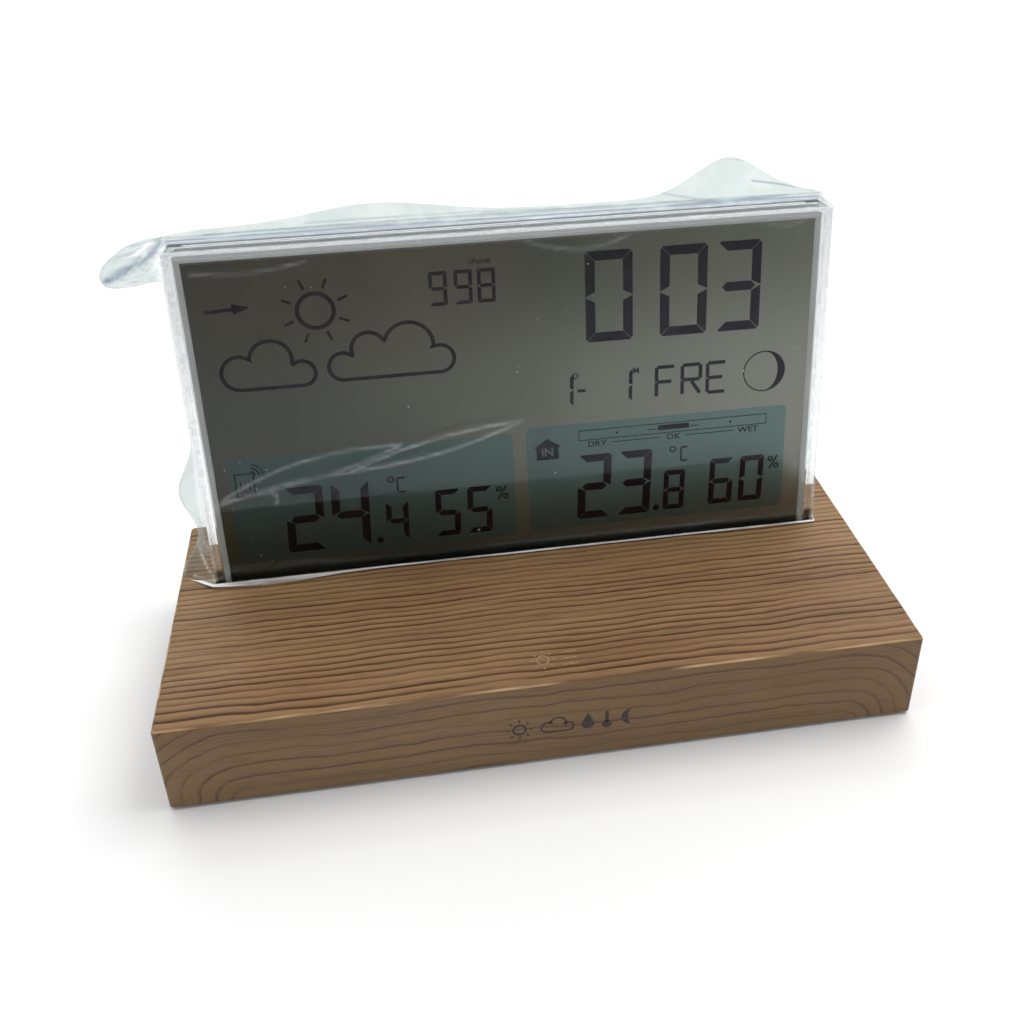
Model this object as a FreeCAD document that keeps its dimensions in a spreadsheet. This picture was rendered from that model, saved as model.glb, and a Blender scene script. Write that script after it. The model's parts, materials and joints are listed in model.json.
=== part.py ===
import FreeCAD, Part
import math
import os

import Sketcher

# Home weather station: a clear display case standing in a slot in a hollow wood-look base.
# Millimetres. X runs right, Y runs back, Z runs up. The origin is the middle of the base's footprint,
# on the surface that it stands on.

SIZES = {
    # base
    "base_width": 150.0,
    "base_depth": 64.0,
    "base_top": 20.8,
    "grip_gap": 0.8,
    "base_wall": 2.4,
    "base_edge": 0.9,
    # display, measured in its own tilted frame: front face at depth 0, base top at height 0
    "display_front": 9.8,
    "display_tilt": 7.0,
    "case_width": 134.2,
    "case_rise": 73.2,
    "case_tongue": 8.0,
    "case_depth": 7.2,
    "case_seam": 4.9,
    "case_wall": 1.6,
    "case_face": 1.2,
    "case_corner": 0.7,
    "slot_gap": 0.15,
    "glass_width": 130.4,
    "glass_rise": 71.5,
    "view_width": 128.0,
    "view_rise": 70.8,
    "glass_thick": 0.55,
    "film_thick": 0.2,
    "guide_thick": 2.0,
    # bottom cover and battery bay
    "cover_thick": 2.0,
    "cover_gap": 0.3,
    "bay_x": -32.0,
    "bay_y": -11.6,
    "bay_length": 50.9,
    "bay_width": 32.1,
    "bay_wall": 1.2,
    "bay_top": 13.6,
    "door_thick": 1.6,
    "door_gap": 0.3,
    "cell_length": 44.5,
    "cell_diameter": 10.5,
    "cell_pitch": 10.7,
    "cell_height": 8.0,
    "door_ledge": 0.9,
    "contact_thick": 0.5,
    "contact_half": 4.0,
    # fixings
    "corner_x": 67.5,
    "corner_y": 24.0,
    "boss_radius": 3.0,
    "screw_radius": 1.05,
    "screw_hole": 1.15,
    "bracket_x": 42.0,
    "bracket_y": 22.6,
    "bracket_floor": 9.4,
    "bracket_ear": 1.6,
    "bracket_wall": 1.6,
    "bracket_gap": 0.1,
    "head_recess_radius": 2.5,
    "head_recess_depth": 1.3,
    "cover_head_radius": 2.3,
    "cover_head_height": 1.2,
    "strip_half_width": 3.0,
    "strip_half_length": 19.0,
    "strip_sink": 0.6,
    "strip_clear": 0.1,
    # board
    "board_z": 5.0,
    "board_thick": 1.2,
    "seat_radius": 2.2,
    "seat_pilot": 0.85,
    "board_hole": 1.0,
    "board_head_radius": 1.7,
    "board_head_height": 1.1,
    # rear controls
    "button_pitch": 16.0,
    "button_z": 10.5,
    "button_radius": 2.3,
    "button_gap": 0.3,
    "button_proud": 0.8,
    "socket_x": 54.0,
    "socket_opening": 4.3,
    "socket_half": 3.9,
    "socket_height": 2.8,
    "socket_wall": 0.4,
    "vent_x": -54.0,
    "vent_pitch": 4.0,
    "vent_width": 1.2,
    "vent_low": 6.5,
    "vent_high": 14.5,
    # protective film
    "sleeve_gap": 0.3,
    "sleeve_wall": 0.2,
    "sleeve_hem": 1.4,
    "sleeve_side": 2.6,
}

CELL_NAMES = ("battery_1", "battery_2", "battery_3")
BUTTON_NAMES = ("mode", "up", "down", "channel", "alarm")
# Where the board is screwed down, and where the grip strips run.
BOARD_SCREWS = (("0", "-25.5"), ("58", "-23"), ("-60", "24"), ("62", "14"))
STRIP_PLACES = ("-67.5", "0", "67.5")

doc = FreeCAD.newDocument("weather_station")
sheet = doc.addObject("Spreadsheet::Sheet", "Sizes")
for row, (alias, value) in enumerate(SIZES.items(), start=1):
    sheet.set(f"A{row}", alias)
    sheet.set(f"B{row}", str(value))
    sheet.setAlias(f"B{row}", alias)
doc.recompute()

nodes = []  # the finished sub-parts, in the order they are made


def size(alias):
    """A driving dimension, read from the sheet."""
    return float(sheet.get(alias))


def bound(text):
    """An expression in which every driving dimension is read from the sheet."""
    words = str(text).replace("(", " ( ").replace(")", " ) ").split()
    return " ".join(f"Sizes.{word}" if word in SIZES else word for word in words)


def vector(x, y, z):
    return FreeCAD.Vector(x, y, z)


def node(obj, name):
    """Marks an object as the finished sub-part of that name."""
    obj.Label = name
    nodes.append(obj)
    return obj


def bind(obj, **expressions):
    """Binds properties to expressions. px, py and pz are the object's position."""
    places = {"px": "Placement.Base.x", "py": "Placement.Base.y", "pz": "Placement.Base.z"}
    for name, text in expressions.items():
        obj.setExpression(places.get(name, name), bound(text))
    return obj


def box(low, high):
    """A box between two corners, each coordinate an expression."""
    obj = doc.addObject("Part::Box", "box")
    spans = [f"({b}) - ({a})" for a, b in zip(low, high)]
    bind(obj, Length=spans[0], Width=spans[1], Height=spans[2])
    return bind(obj, px=low[0], py=low[1], pz=low[2])


def cylinder(radius, start, length, axis="z"):
    """A cylinder from a start point along an axis."""
    obj = doc.addObject("Part::Cylinder", "cylinder")
    turn = {"z": (0, 0, 1, 0), "y": (1, 0, 0, -90), "x": (0, 1, 0, 90)}[axis]
    obj.Placement = FreeCAD.Placement(vector(0, 0, 0), FreeCAD.Rotation(vector(*turn[:3]), turn[3]))
    bind(obj, Radius=radius, Height=length)
    return bind(obj, px=start[0], py=start[1], pz=start[2])


def joined(shapes):
    obj = doc.addObject("Part::MultiFuse", "joined")
    obj.Shapes = list(shapes)
    return obj


def group(shapes):
    """Separate solids that share one node, such as a set of screws."""
    obj = doc.addObject("Part::Compound", "group")
    obj.Links = list(shapes)
    return obj


def cut(base, tools):
    obj = doc.addObject("Part::Cut", "cut")
    obj.Base = base
    obj.Tool = tools[0] if len(tools) == 1 else joined(tools)
    return obj


def rounded(base, radius, wanted):
    """Rounds the edges of base that wanted() picks."""
    doc.recompute()
    obj = doc.addObject("Part::Fillet", "rounded")
    obj.Base = base
    obj.Edges = [(i, radius, radius) for i, edge in enumerate(base.Shape.Edges, start=1) if wanted(edge)]
    return obj


def in_display(obj):
    """Moves an object made in the display's own frame into its tilted place on the base."""
    if obj.TypeId == "Part::Box":
        obj = group([obj])
    lean = FreeCAD.Rotation(vector(1, 0, 0), -size("display_tilt"))
    obj.Placement = FreeCAD.Placement(vector(0, 0, 0), lean)
    obj.setExpression("Placement.Rotation.Angle", "-Sizes.display_tilt")
    return bind(obj, py="display_front", pz="base_top")


class Body:
    """A PartDesign body with helpers for sketches of rectangles, circles and polygons."""

    def __init__(self, name):
        self.body = doc.addObject("PartDesign::Body", name)

    def sketch(self, name, role="XY_Plane", offset="0"):
        sketch = self.body.newObject("Sketcher::SketchObject", name)
        plane = next(f for f in self.body.Origin.OriginFeatures if f.Role == role)
        sketch.AttachmentSupport = [(plane, "")]
        sketch.MapMode = "FlatFace"
        sketch.setExpression("AttachmentOffset.Base.z", bound(offset))
        return sketch

    def pad(self, sketch, length, reverse=False):
        feature = self.body.newObject("PartDesign::Pad", "pad")
        feature.Profile = sketch
        feature.Reversed = reverse
        feature.setExpression("Length", bound(length))
        doc.recompute()
        return feature

    def pocket(self, sketch, length, reverse=False):
        """Cuts a sketch away and makes sure that it removed something."""
        before = self.body.Shape.Volume
        feature = self.body.newObject("PartDesign::Pocket", "pocket")
        feature.Profile = sketch
        feature.Reversed = reverse
        feature.setExpression("Length", bound(length))
        doc.recompute()
        if self.body.Shape.Volume >= before:
            raise ValueError(f"a pocket in {self.body.Name} cuts nothing")
        return feature

    def revolve(self, sketch):
        feature = self.body.newObject("PartDesign::Revolution", "revolution")
        feature.Profile = sketch
        feature.ReferenceAxis = (sketch, ["V_Axis"])
        feature.Angle = 360.0
        doc.recompute()
        return feature

    def fillet(self, radius, wanted):
        tip = self.body.Tip
        edges = [f"Edge{i}" for i, edge in enumerate(tip.Shape.Edges, start=1) if wanted(edge)]
        feature = self.body.newObject("PartDesign::Fillet", "fillet")
        feature.Base = (tip, edges)
        feature.setExpression("Radius", bound(radius))
        doc.recompute()
        return feature


def polygon(sketch, points):
    """A closed outline through points, each a pair of expressions."""
    first = sketch.GeometryCount
    count = len(points)
    turns = [math.tau * i / count for i in range(count)]
    spots = [vector(math.cos(turn), math.sin(turn), 0) for turn in turns]
    for i in range(count):
        sketch.addGeometry(Part.LineSegment(spots[i], spots[(i + 1) % count]), False)
    for i in range(count):
        sketch.addConstraint(Sketcher.Constraint("Coincident", first + i, 2, first + (i + 1) % count, 1))
    for i, (x, y) in enumerate(points):
        for kind, text in (("DistanceX", x), ("DistanceY", y)):
            index = sketch.addConstraint(Sketcher.Constraint(kind, -1, 1, first + i, 1, 1.0))
            sketch.setExpression(f"Constraints[{index}]", bound(text))


def rectangle(sketch, x0, y0, x1, y1):
    polygon(sketch, [(x0, y0), (x1, y0), (x1, y1), (x0, y1)])


def circle(sketch, x, y, radius):
    index = sketch.addGeometry(Part.Circle(vector(1, 1, 0), vector(0, 0, 1), 1.0), False)
    for kind, text in (("DistanceX", x), ("DistanceY", y)):
        place = sketch.addConstraint(Sketcher.Constraint(kind, -1, 1, index, 3, 1.0))
        sketch.setExpression(f"Constraints[{place}]", bound(text))
    width = sketch.addConstraint(Sketcher.Constraint("Radius", index, 1.0))
    sketch.setExpression(f"Constraints[{width}]", bound(radius))


def centred(sketch, width, depth):
    """A rectangle about the sketch's origin."""
    rectangle(sketch, f"- ({width}) / 2", f"- ({depth}) / 2", f"({width}) / 2", f"({depth}) / 2")


def button_places():
    return [(name, f"({i - 2}) * button_pitch") for i, name in enumerate(BUTTON_NAMES)]


def corners(x, y):
    return [(f"{sx} * {x}", f"{sy} * {y}") for sx in (-1, 1) for sy in (-1, 1)]


# ---------------------------------------------------------------- base


def base_shell():
    """The hollow base: a top and four walls, open below, with the display's slot and the rear openings."""
    part = Body("base_shell_body")
    outline = part.sketch("outline", offset="grip_gap")
    centred(outline, "base_width", "base_depth")
    part.pad(outline, "base_top - grip_gap")

    def outer(edge):
        low = edge.BoundBox
        return low.ZMax > size("base_top") - 0.01 or low.ZLength > 10

    part.fillet("base_edge", outer)
    hollow = part.sketch("hollow", offset="grip_gap")
    centred(hollow, "base_width - 2 * base_wall", "base_depth - 2 * base_wall")
    part.pocket(hollow, "base_top - grip_gap - base_wall", reverse=True)
    posts = part.sketch("posts", offset="grip_gap + cover_thick")
    for x, y in corners("corner_x", "corner_y"):
        circle(posts, x, y, "boss_radius")
    part.pad(posts, "base_top - base_wall - grip_gap - cover_thick + 0.1")
    hangers = part.sketch("hangers", offset="bracket_floor + bracket_ear")
    for sign in (-1, 1):
        circle(hangers, f"{sign} * bracket_x", "bracket_y", "boss_radius - 0.5")
    part.pad(hangers, "base_top - base_wall - bracket_floor - bracket_ear + 0.1")
    pilots = part.sketch("pilots", offset="grip_gap + cover_thick")
    for x, y in corners("corner_x", "corner_y"):
        circle(pilots, x, y, "screw_hole")
    part.pocket(pilots, "9", reverse=True)
    hanger_pilots = part.sketch("hanger_pilots", offset="bracket_floor + bracket_ear")
    for sign in (-1, 1):
        circle(hanger_pilots, f"{sign} * bracket_x", "bracket_y", "screw_hole")
    part.pocket(hanger_pilots, "5.5", reverse=True)
    rear = part.sketch("rear_openings", role="XZ_Plane", offset="- base_depth / 2 - 1")
    for _, x in button_places():
        circle(rear, x, "button_z", "button_radius + button_gap")
    rectangle(rear, "socket_x - socket_opening", "board_z + board_thick - socket_wall",
              "socket_x + socket_opening", "board_z + board_thick + socket_height + socket_wall")
    for step in range(4):
        low = f"vent_x + ({step} - 1.5) * vent_pitch - vent_width / 2"
        rectangle(rear, low, "vent_low", f"{low} + vent_width", "vent_high")
    part.pocket(rear, "base_wall + 2", reverse=True)
    slot = in_display(box(
        ("- case_width / 2 - slot_gap", "- slot_gap", "-5"),
        ("case_width / 2 + slot_gap", "case_depth + slot_gap", "4"),
    ))
    node(cut(part.body, [slot]), "base_shell")


def bottom_cover():
    """The plate that closes the base, with the battery bay standing on it and seats for the board."""
    part = Body("bottom_cover_body")
    plate = part.sketch("plate", offset="grip_gap")
    inner = "2 * base_wall - 2 * cover_gap"
    centred(plate, f"base_width - {inner}", f"base_depth - {inner}")
    part.pad(plate, "cover_thick")
    bay = part.sketch("bay", offset="grip_gap + cover_thick")
    half_l = "bay_length / 2"
    half_w = "bay_width / 2"
    rectangle(bay, f"bay_x - {half_l} - bay_wall", f"bay_y - {half_w} - bay_wall",
              f"bay_x + {half_l} + bay_wall", f"bay_y + {half_w} + bay_wall")
    part.pad(bay, "bay_top + bay_wall - grip_gap - cover_thick")
    seats = part.sketch("seats", offset="grip_gap + cover_thick")
    for x, y in BOARD_SCREWS:
        circle(seats, x, y, "seat_radius")
    part.pad(seats, "board_z - grip_gap - cover_thick")
    space = part.sketch("space", offset="grip_gap")
    rectangle(space, f"bay_x - {half_l}", f"bay_y - {half_w}", f"bay_x + {half_l}", f"bay_y + {half_w}")
    part.pocket(space, "bay_top - grip_gap", reverse=True)
    ledge = part.sketch("ledge", offset="grip_gap")
    rectangle(ledge, f"bay_x - {half_l} - door_ledge", f"bay_y - {half_w} - door_ledge",
              f"bay_x + {half_l} + door_ledge", f"bay_y + {half_w} + door_ledge")
    part.pocket(ledge, "door_thick + 0.1", reverse=True)
    holes = part.sketch("holes", offset="grip_gap")
    for x, y in corners("corner_x", "corner_y"):
        circle(holes, x, y, "screw_hole + 0.15")
    part.pocket(holes, "cover_thick", reverse=True)
    heads = part.sketch("head_recesses", offset="grip_gap")
    for x, y in corners("corner_x", "corner_y"):
        circle(heads, x, y, "head_recess_radius")
    part.pocket(heads, "head_recess_depth", reverse=True)
    seat_holes = part.sketch("seat_holes", offset="board_z")
    for x, y in BOARD_SCREWS:
        circle(seat_holes, x, y, "seat_pilot")
    part.pocket(seat_holes, "3")
    strips = part.sketch("strip_recesses", offset="grip_gap")
    for x in STRIP_PLACES:
        rectangle(strips, f"{x} - strip_half_width", "- strip_half_length",
                  f"{x} + strip_half_width", "strip_half_length")
    part.pocket(strips, "strip_sink", reverse=True)
    node(part.body, "bottom_cover")


def grip_strips():
    """Three rubber strips that the base stands on."""
    strips = []
    half_w = "(strip_half_width - strip_clear)"
    half_l = "(strip_half_length - strip_clear)"
    for x in STRIP_PLACES:
        low = (f"{x} - {half_w}", f"- {half_l}", "0")
        strips.append(box(low, (f"{x} + {half_w}", half_l, "grip_gap + strip_sink")))
    node(group(strips), "grip_strips")


def cover_screws():
    screws = []
    for x, y in corners("corner_x", "corner_y"):
        head = cylinder("cover_head_radius", (x, y, "grip_gap + 0.1"), "cover_head_height")
        shank = cylinder("screw_radius", (x, y, "grip_gap + 0.1 + cover_head_height"), "8")
        drive = cylinder("1", (x, y, "grip_gap + 0.1"), "0.7")
        screws.append(cut(joined([head, shank]), [drive]))
    node(group(screws), "cover_screws")


def battery_door():
    """The door over the cells, with finger ribs and a thumb recess."""
    part = Body("battery_door_body")
    plate = part.sketch("plate", offset="grip_gap")
    half_l = "(bay_length / 2 + door_ledge - door_gap)"
    half_w = "(bay_width / 2 + door_ledge - door_gap)"
    rectangle(plate, f"bay_x - {half_l}", f"bay_y - {half_w}", f"bay_x + {half_l}", f"bay_y + {half_w}")
    part.pad(plate, "door_thick - 0.2")
    thumb = part.sketch("thumb", offset="grip_gap")
    rectangle(thumb, "bay_x + bay_length / 2 - 9", "bay_y - 5", "bay_x + bay_length / 2 - 4", "bay_y + 5")
    part.pocket(thumb, "0.7", reverse=True)
    node(part.body, "battery_door")


def batteries():
    """Three AAA cells side by side, each with the raised positive end the other way from its neighbour."""
    for i, name in enumerate(CELL_NAMES):
        turn = 1 if i % 2 == 0 else -1
        y = f"bay_y + ({i - 1}) * cell_pitch"
        start = f"bay_x - cell_length / 2 + {0 if turn > 0 else 1}"
        can = cylinder("cell_diameter / 2", (start, y, "cell_height"), "cell_length - 1", axis="x")
        tip_x = "bay_x + cell_length / 2 - 1" if turn > 0 else "bay_x - cell_length / 2"
        tip = cylinder("1.9", (tip_x, y, "cell_height"), "1", axis="x")
        node(joined([rounded(can, 0.6, lambda edge: edge.Curve.TypeId == "Part::GeomCircle"), tip]), name)


def battery_contacts():
    """A coil spring on a plate at each negative end, and a plain plate at each positive end."""
    springs = []
    plates = []
    for i in range(3):
        turn = 1 if i % 2 == 0 else -1
        y = f"bay_y + ({i - 1}) * cell_pitch"
        for end in (-1, 1):
            wall = f"bay_x + ({end}) * (bay_length / 2)"
            low = f"{wall} - contact_thick" if end > 0 else wall
            plate = box((low, f"{y} - contact_half", "cell_height - contact_half"),
                        (f"{low} + contact_thick", f"{y} + contact_half", "cell_height + contact_half"))
            if end == turn:
                bump_x = f"{wall} - 2.9" if end > 0 else f"{wall} + 0.4"
                bump = cylinder("2.6", (bump_x, y, "cell_height"), "2.5", axis="x")
                plates.append(joined([plate, bump]))
                continue
            coils = [plate]
            for ring in range(3):
                torus = doc.addObject("Part::Torus", "coil")
                torus.Placement = FreeCAD.Placement(vector(0, 0, 0), FreeCAD.Rotation(vector(0, 1, 0), 90))
                bind(torus, Radius1=f"{3.4 - 0.3 * ring}", Radius2="0.45")
                bind(torus, px=f"{wall} - ({end}) * {0.85 + 0.75 * ring}", py=y, pz="cell_height")
                coils.append(torus)
            springs.append(joined(coils))
    node(group(springs), "battery_springs")
    node(group(plates), "battery_plates")


# ---------------------------------------------------------------- electronics


def on_board(x, y, length, width, height):
    """A component's box standing on the board."""
    return box((x, y, "board_z + board_thick"),
               (f"({x}) + {length}", f"({y}) + {width}", f"board_z + board_thick + {height}"))


def main_pcb():
    """The L-shaped main board, beside and behind the battery bay."""
    part = Body("main_pcb_body")
    outline = part.sketch("outline", offset="board_z")
    polygon(outline, [
        ("-3", "-28"), ("62.5", "-28"), ("62.5", "10"), ("66", "10"), ("66", "19"), ("62.5", "19"),
        ("62.5", "28.4"), ("-63.5", "28.4"), ("-63.5", "8.5"), ("-3", "8.5"),
    ])
    part.pad(outline, "board_thick")
    holes = part.sketch("holes", offset="board_z")
    for x, y in BOARD_SCREWS:
        circle(holes, x, y, "board_hole")
    part.pocket(holes, "board_thick", reverse=True)
    node(part.body, "main_pcb")
    screws = []
    for x, y in BOARD_SCREWS:
        head = cylinder("board_head_radius", (x, y, "board_z + board_thick"), "board_head_height")
        shank = cylinder("0.8", (x, y, "board_z - 2.6"), "board_thick + 2.7")
        screws.append(joined([head, shank]))
    node(group(screws), "pcb_screws")


def board_parts():
    """What is soldered to the main board."""
    chip = on_board("22", "-14", 10, 10, 1.5)
    legs = [on_board("20.95", f"- 13.2 + 1.2 * {i}", 12.1, 0.5, 0.3) for i in range(8)]
    node(joined([chip, *legs]), "controller_chip")
    node(cylinder("1.5", ("40", "-4", "board_z + board_thick + 1.5"), "8", axis="x"), "quartz_crystal")
    cans = [cylinder("2.5", (x, "-22", "board_z + board_thick"), "6") for x in ("14", "20", "26")]
    node(group(cans), "capacitors")
    card = on_board("38", "-27", 18, 0.8, 9)
    shield = box(("41", "-26.2", "board_z + board_thick + 3"),
                 ("53", "-24.6", "board_z + board_thick + 8.5"))
    node(joined([card, shield]), "radio_board")
    coil = [cylinder("0.45", ("52", "-18", "board_z + board_thick"), "1.6")]
    for ring in range(10):
        torus = doc.addObject("Part::Torus", "turn")
        bind(torus, Radius1="2.2", Radius2="0.5")
        bind(torus, px="54.2", py="-18", pz=f"board_z + board_thick + {1.6 + 0.9 * ring}")
        coil.append(torus)
    node(joined(coil), "antenna_coil")
    sensor = on_board("6", "-8", 3.8, 3.6, 1)
    port = cylinder("0.4", ("7.9", "-6.2", "board_z + board_thick + 0.6"), "0.6")
    node(cut(sensor, [port]), "pressure_sensor")
    body = on_board("-56", "21", 3, 3, 1.2)
    window = cylinder("0.8", ("-54.5", "22.5", "board_z + board_thick + 0.9"), "0.5")
    node(cut(body, [window]), "humidity_sensor")
    can = cylinder("6", ("36", "5", "board_z + board_thick"), "4.5")
    sound_hole = cylinder("1", ("36", "5", "board_z + board_thick + 3"), "2")
    node(cut(can, [sound_hole]), "buzzer")
    node(on_board("-18", "14", 36, 3.4, 1.9), "flex_connector")


def touch_sensor():
    """A copper pad under the base's top, sprung up from the board."""
    node(cylinder("6", ("4", "-20", "base_top - base_wall - 0.2"), "0.2"), "touch_pad")
    coils = [cylinder("1.4", ("4", "-20", "board_z + board_thick"), "0.8")]
    for ring in range(13):
        torus = doc.addObject("Part::Torus", "coil")
        bind(torus, Radius1="2.6", Radius2="0.5")
        bind(torus, px="4", py="-20", pz=f"board_z + board_thick + {0.5 + 0.9 * ring}")
        coils.append(torus)
    foot = cylinder("2.6", ("4", "-20", "board_z + board_thick"), "0.3")
    post = cylinder("0.5", ("6.6", "-20", "board_z + board_thick + 0.2"), "11")
    node(joined([foot, post, *coils]), "touch_spring")


def usb_socket():
    """The micro-USB power socket at the back edge of the board."""
    low_z = "board_z + board_thick"
    shell = box(("socket_x - socket_half", "base_depth / 2 - 6", low_z),
                ("socket_x + socket_half", "base_depth / 2 - 0.4", f"{low_z} + socket_height"))
    cavity = box(("socket_x - socket_half + 0.5", "base_depth / 2 - 5.4", f"{low_z} + socket_wall"),
                 ("socket_x + socket_half - 0.5", "base_depth / 2", f"{low_z} + socket_height - socket_wall"))
    tongue = box(("socket_x - 1.8", "base_depth / 2 - 5.5", f"{low_z} + 1.3"),
                 ("socket_x + 1.8", "base_depth / 2 - 1.6", f"{low_z} + 1.9"))
    node(joined([cut(shell, [cavity]), tongue]), "usb_socket")


def rear_controls():
    """Five push buttons through the back wall, each pressing its switch through a plunger."""
    bodies = []
    inner_wall = "base_depth / 2 - base_wall"
    for name, x in button_places():
        part = Body(f"button_{name}_body")
        profile = part.sketch("profile", role="XY_Plane")
        far = "base_wall + button_proud"
        # half profile turned about the button's own axis: an inner flange, then the stem with a domed rim
        polygon(profile, [("0", "-1.2"), ("button_radius + 1", "-1.2"), ("button_radius + 1", "-0.3"),
                          ("button_radius", "-0.3"), ("button_radius", f"{far} - 0.4"),
                          ("button_radius - 0.4", far), ("0", far)])
        part.revolve(profile)
        bind(part.body, px=x, py=inner_wall, pz="button_z")
        node(part.body, f"button_{name}")
        rise = "(button_z - board_z - board_thick + 2.6)"
        switch = on_board(f"{x} - 3", f"{inner_wall} - 6.4", 6, 3.6, rise)
        well = cylinder("1.9", (x, f"{inner_wall} - 4.4", "button_z"), "2.6", axis="y")
        bodies.append(cut(switch, [well]))
        node(cylinder("1.7", (x, f"{inner_wall} - 3.7", "button_z"), "2.5", axis="y"), f"plunger_{name}")
    node(group(bodies), "switch_bodies")


# ---------------------------------------------------------------- display


def pane(name, width, low, high, front, back):
    """A flat sheet in the display's own frame."""
    sheet_box = box((f"- {width} / 2", front, low), (f"{width} / 2", back, high))
    return node(in_display(sheet_box), name)


def case_half(name, front, back, cavity_front, cavity_back):
    """One half of the clear case: a face with three walls, open below."""
    part = Body(f"{name}_body")
    outline = part.sketch("outline", role="XZ_Plane", offset=f"- ({back})")
    rectangle(outline, "- case_width / 2", "- case_tongue", "case_width / 2", "case_rise")
    part.pad(outline, f"({back}) - ({front})")
    hollow = part.sketch("hollow", role="XZ_Plane", offset=f"- ({cavity_back})")
    rectangle(hollow, "- case_width / 2 + case_wall", "- case_tongue - 1", "case_width / 2 - case_wall",
              "case_rise - case_wall")
    part.pocket(hollow, f"({cavity_back}) - ({cavity_front})", reverse=True)
    return part


def upright_or_top(edge):
    """The outer corners of the case, seen from the front."""
    span = edge.BoundBox
    runs_back = span.XLength < 0.01 and span.ZLength < 0.01
    at_top = span.ZMax > size("case_rise") - 0.01
    return runs_back and at_top and abs(span.XMax) > size("case_width") / 2 - 0.1


def display_case():
    front = case_half("front_case", "0", "case_seam", "case_face", "case_seam")
    front.fillet("case_corner", upright_or_top)
    node(in_display(front.body), "front_case")
    rear = case_half("rear_case", "case_seam", "case_depth", "case_seam", "case_depth - case_face")
    rear.fillet("case_corner", upright_or_top)
    node(in_display(rear.body), "rear_case")


def display_stack():
    """The layers of the display from front to back."""
    front = "case_face + 0.1"
    pane("front_polarizer", "view_width", "-2", "view_rise", front, f"{front} + film_thick")
    front = f"{front} + film_thick"
    pane("lcd_front_glass", "glass_width", "-3", "glass_rise", front, f"{front} + glass_thick")
    front = f"{front} + glass_thick"
    pane("lcd_rear_glass", "glass_width", "-7", "glass_rise", front, f"{front} + glass_thick")
    front = f"{front} + glass_thick"
    pane("rear_polarizer", "view_width", "-2", "view_rise", front, f"{front} + film_thick")
    guide = f"{front} + film_thick"
    pane("light_guide", "view_width", "-2", "view_rise", guide, f"{guide} + guide_thick")
    back = f"{guide} + guide_thick"
    pane("reflector_sheet", "view_width", "-2", "view_rise", back, f"{back} + film_thick")
    frame_back = f"{back} + film_thick + 0.7"
    outer = box(("- glass_width / 2", front, "-6.6"), ("glass_width / 2", frame_back, "glass_rise"))
    inner = box(("- view_width / 2", f"{front} - 1", "-4.4"),
                ("view_width / 2", f"{back} + film_thick", "view_rise"))
    node(in_display(cut(outer, [inner])), "backlight_frame")
    tape = box(("-60", f"{guide} + 0.1", "-4.2"), ("60", f"{guide} + 1.9", "-3.9"))
    lamps = []
    for i in range(7):
        x = f"({i} - 3) * 18"
        lamps.append(box((f"{x} - 1.6", f"{guide} + 0.4", "-3.9"), (f"{x} + 1.6", f"{guide} + 1.6", "-2.1")))
    node(in_display(joined([tape, *lamps])), "led_strip")


def lcd_flex():
    """The flat cable from the lower glass ledge down to its connector on the board."""
    part = Body("lcd_flex_body")
    profile = part.sketch("profile", role="YZ_Plane", offset="-17")
    tilt = math.radians(size("display_tilt"))
    ledge_front = size("case_face") + 0.1 + size("film_thick") + size("glass_thick")
    start = (size("display_front") + ledge_front * math.cos(tilt),
             size("base_top") - ledge_front * math.sin(tilt))
    lean = (-math.sin(tilt), -math.cos(tilt))
    out = (-math.cos(tilt), math.sin(tilt))
    thick = 0.15

    def spot(along, off):
        return (start[0] + along * lean[0] + off * out[0], start[1] + along * lean[1] + off * out[1])

    top_back = spot(4.6, 0)
    top_front = spot(4.6, thick)
    low_back = spot(11.0, 0)
    low_front = spot(11.0, thick)
    seat_z = size("board_z") + size("board_thick") + 1.9
    outline = [top_back, top_front, low_front, (14.2 - thick, seat_z + thick + 0.5), (14.2 - thick, seat_z),
               (14.2 + thick, seat_z), (14.2 + thick, seat_z + thick + 0.5), low_back]
    polygon(profile, [(f"{x:.4f}", f"{y:.4f}") for x, y in outline])
    part.pad(profile, "34")
    node(part.body, "lcd_flex")


def display_bracket():
    """The channel under the base's top that holds the case's tongue, with an ear for each screw."""
    outer = in_display(box(
        ("- case_width / 2 - bracket_wall", "-1.8", "- case_tongue - bracket_wall"),
        ("case_width / 2 + bracket_wall", "case_depth + 1.8", "-3.1"),
    ))
    inner = in_display(box(
        ("- case_width / 2 - bracket_gap", "- bracket_gap", "- case_tongue - bracket_gap"),
        ("case_width / 2 + bracket_gap", "case_depth + bracket_gap", "0"),
    ))
    passage = in_display(box(
        ("-20", "- bracket_gap", "- case_tongue - 3"),
        ("20", "case_depth + bracket_gap", "0"),
    ))
    channel = cut(outer, [inner, passage])
    ears = []
    holes = []
    for sign in (-1, 1):
        x = f"({sign}) * bracket_x"
        ears.append(box((f"{x} - 3.2", "16.6", "bracket_floor"),
                        (f"{x} + 3.2", "bracket_y + 3.2", "bracket_floor + bracket_ear")))
        holes.append(cylinder("screw_hole + 0.1", (x, "bracket_y", "bracket_floor - 1"), "4"))
    node(cut(joined([channel, *ears]), holes), "display_bracket")
    screws = []
    for sign in (-1, 1):
        x = f"({sign}) * bracket_x"
        head = cylinder("2.1", (x, "bracket_y", "bracket_floor - 1.3"), "1.3")
        shank = cylinder("screw_radius", (x, "bracket_y", "bracket_floor - 0.1"), "6")
        screws.append(joined([head, shank]))
    node(group(screws), "bracket_screws")


# ---------------------------------------------------------------- protective film

OUTLINE_STEPS = 24
# The fin is low, with one long swell and one short peak: (middle, half width, height).
FIN_LOW, FIN_SWELL, FIN_PEAK = 0.8, (-26, 17, 3.0), (47, 10, 7.5)
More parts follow.
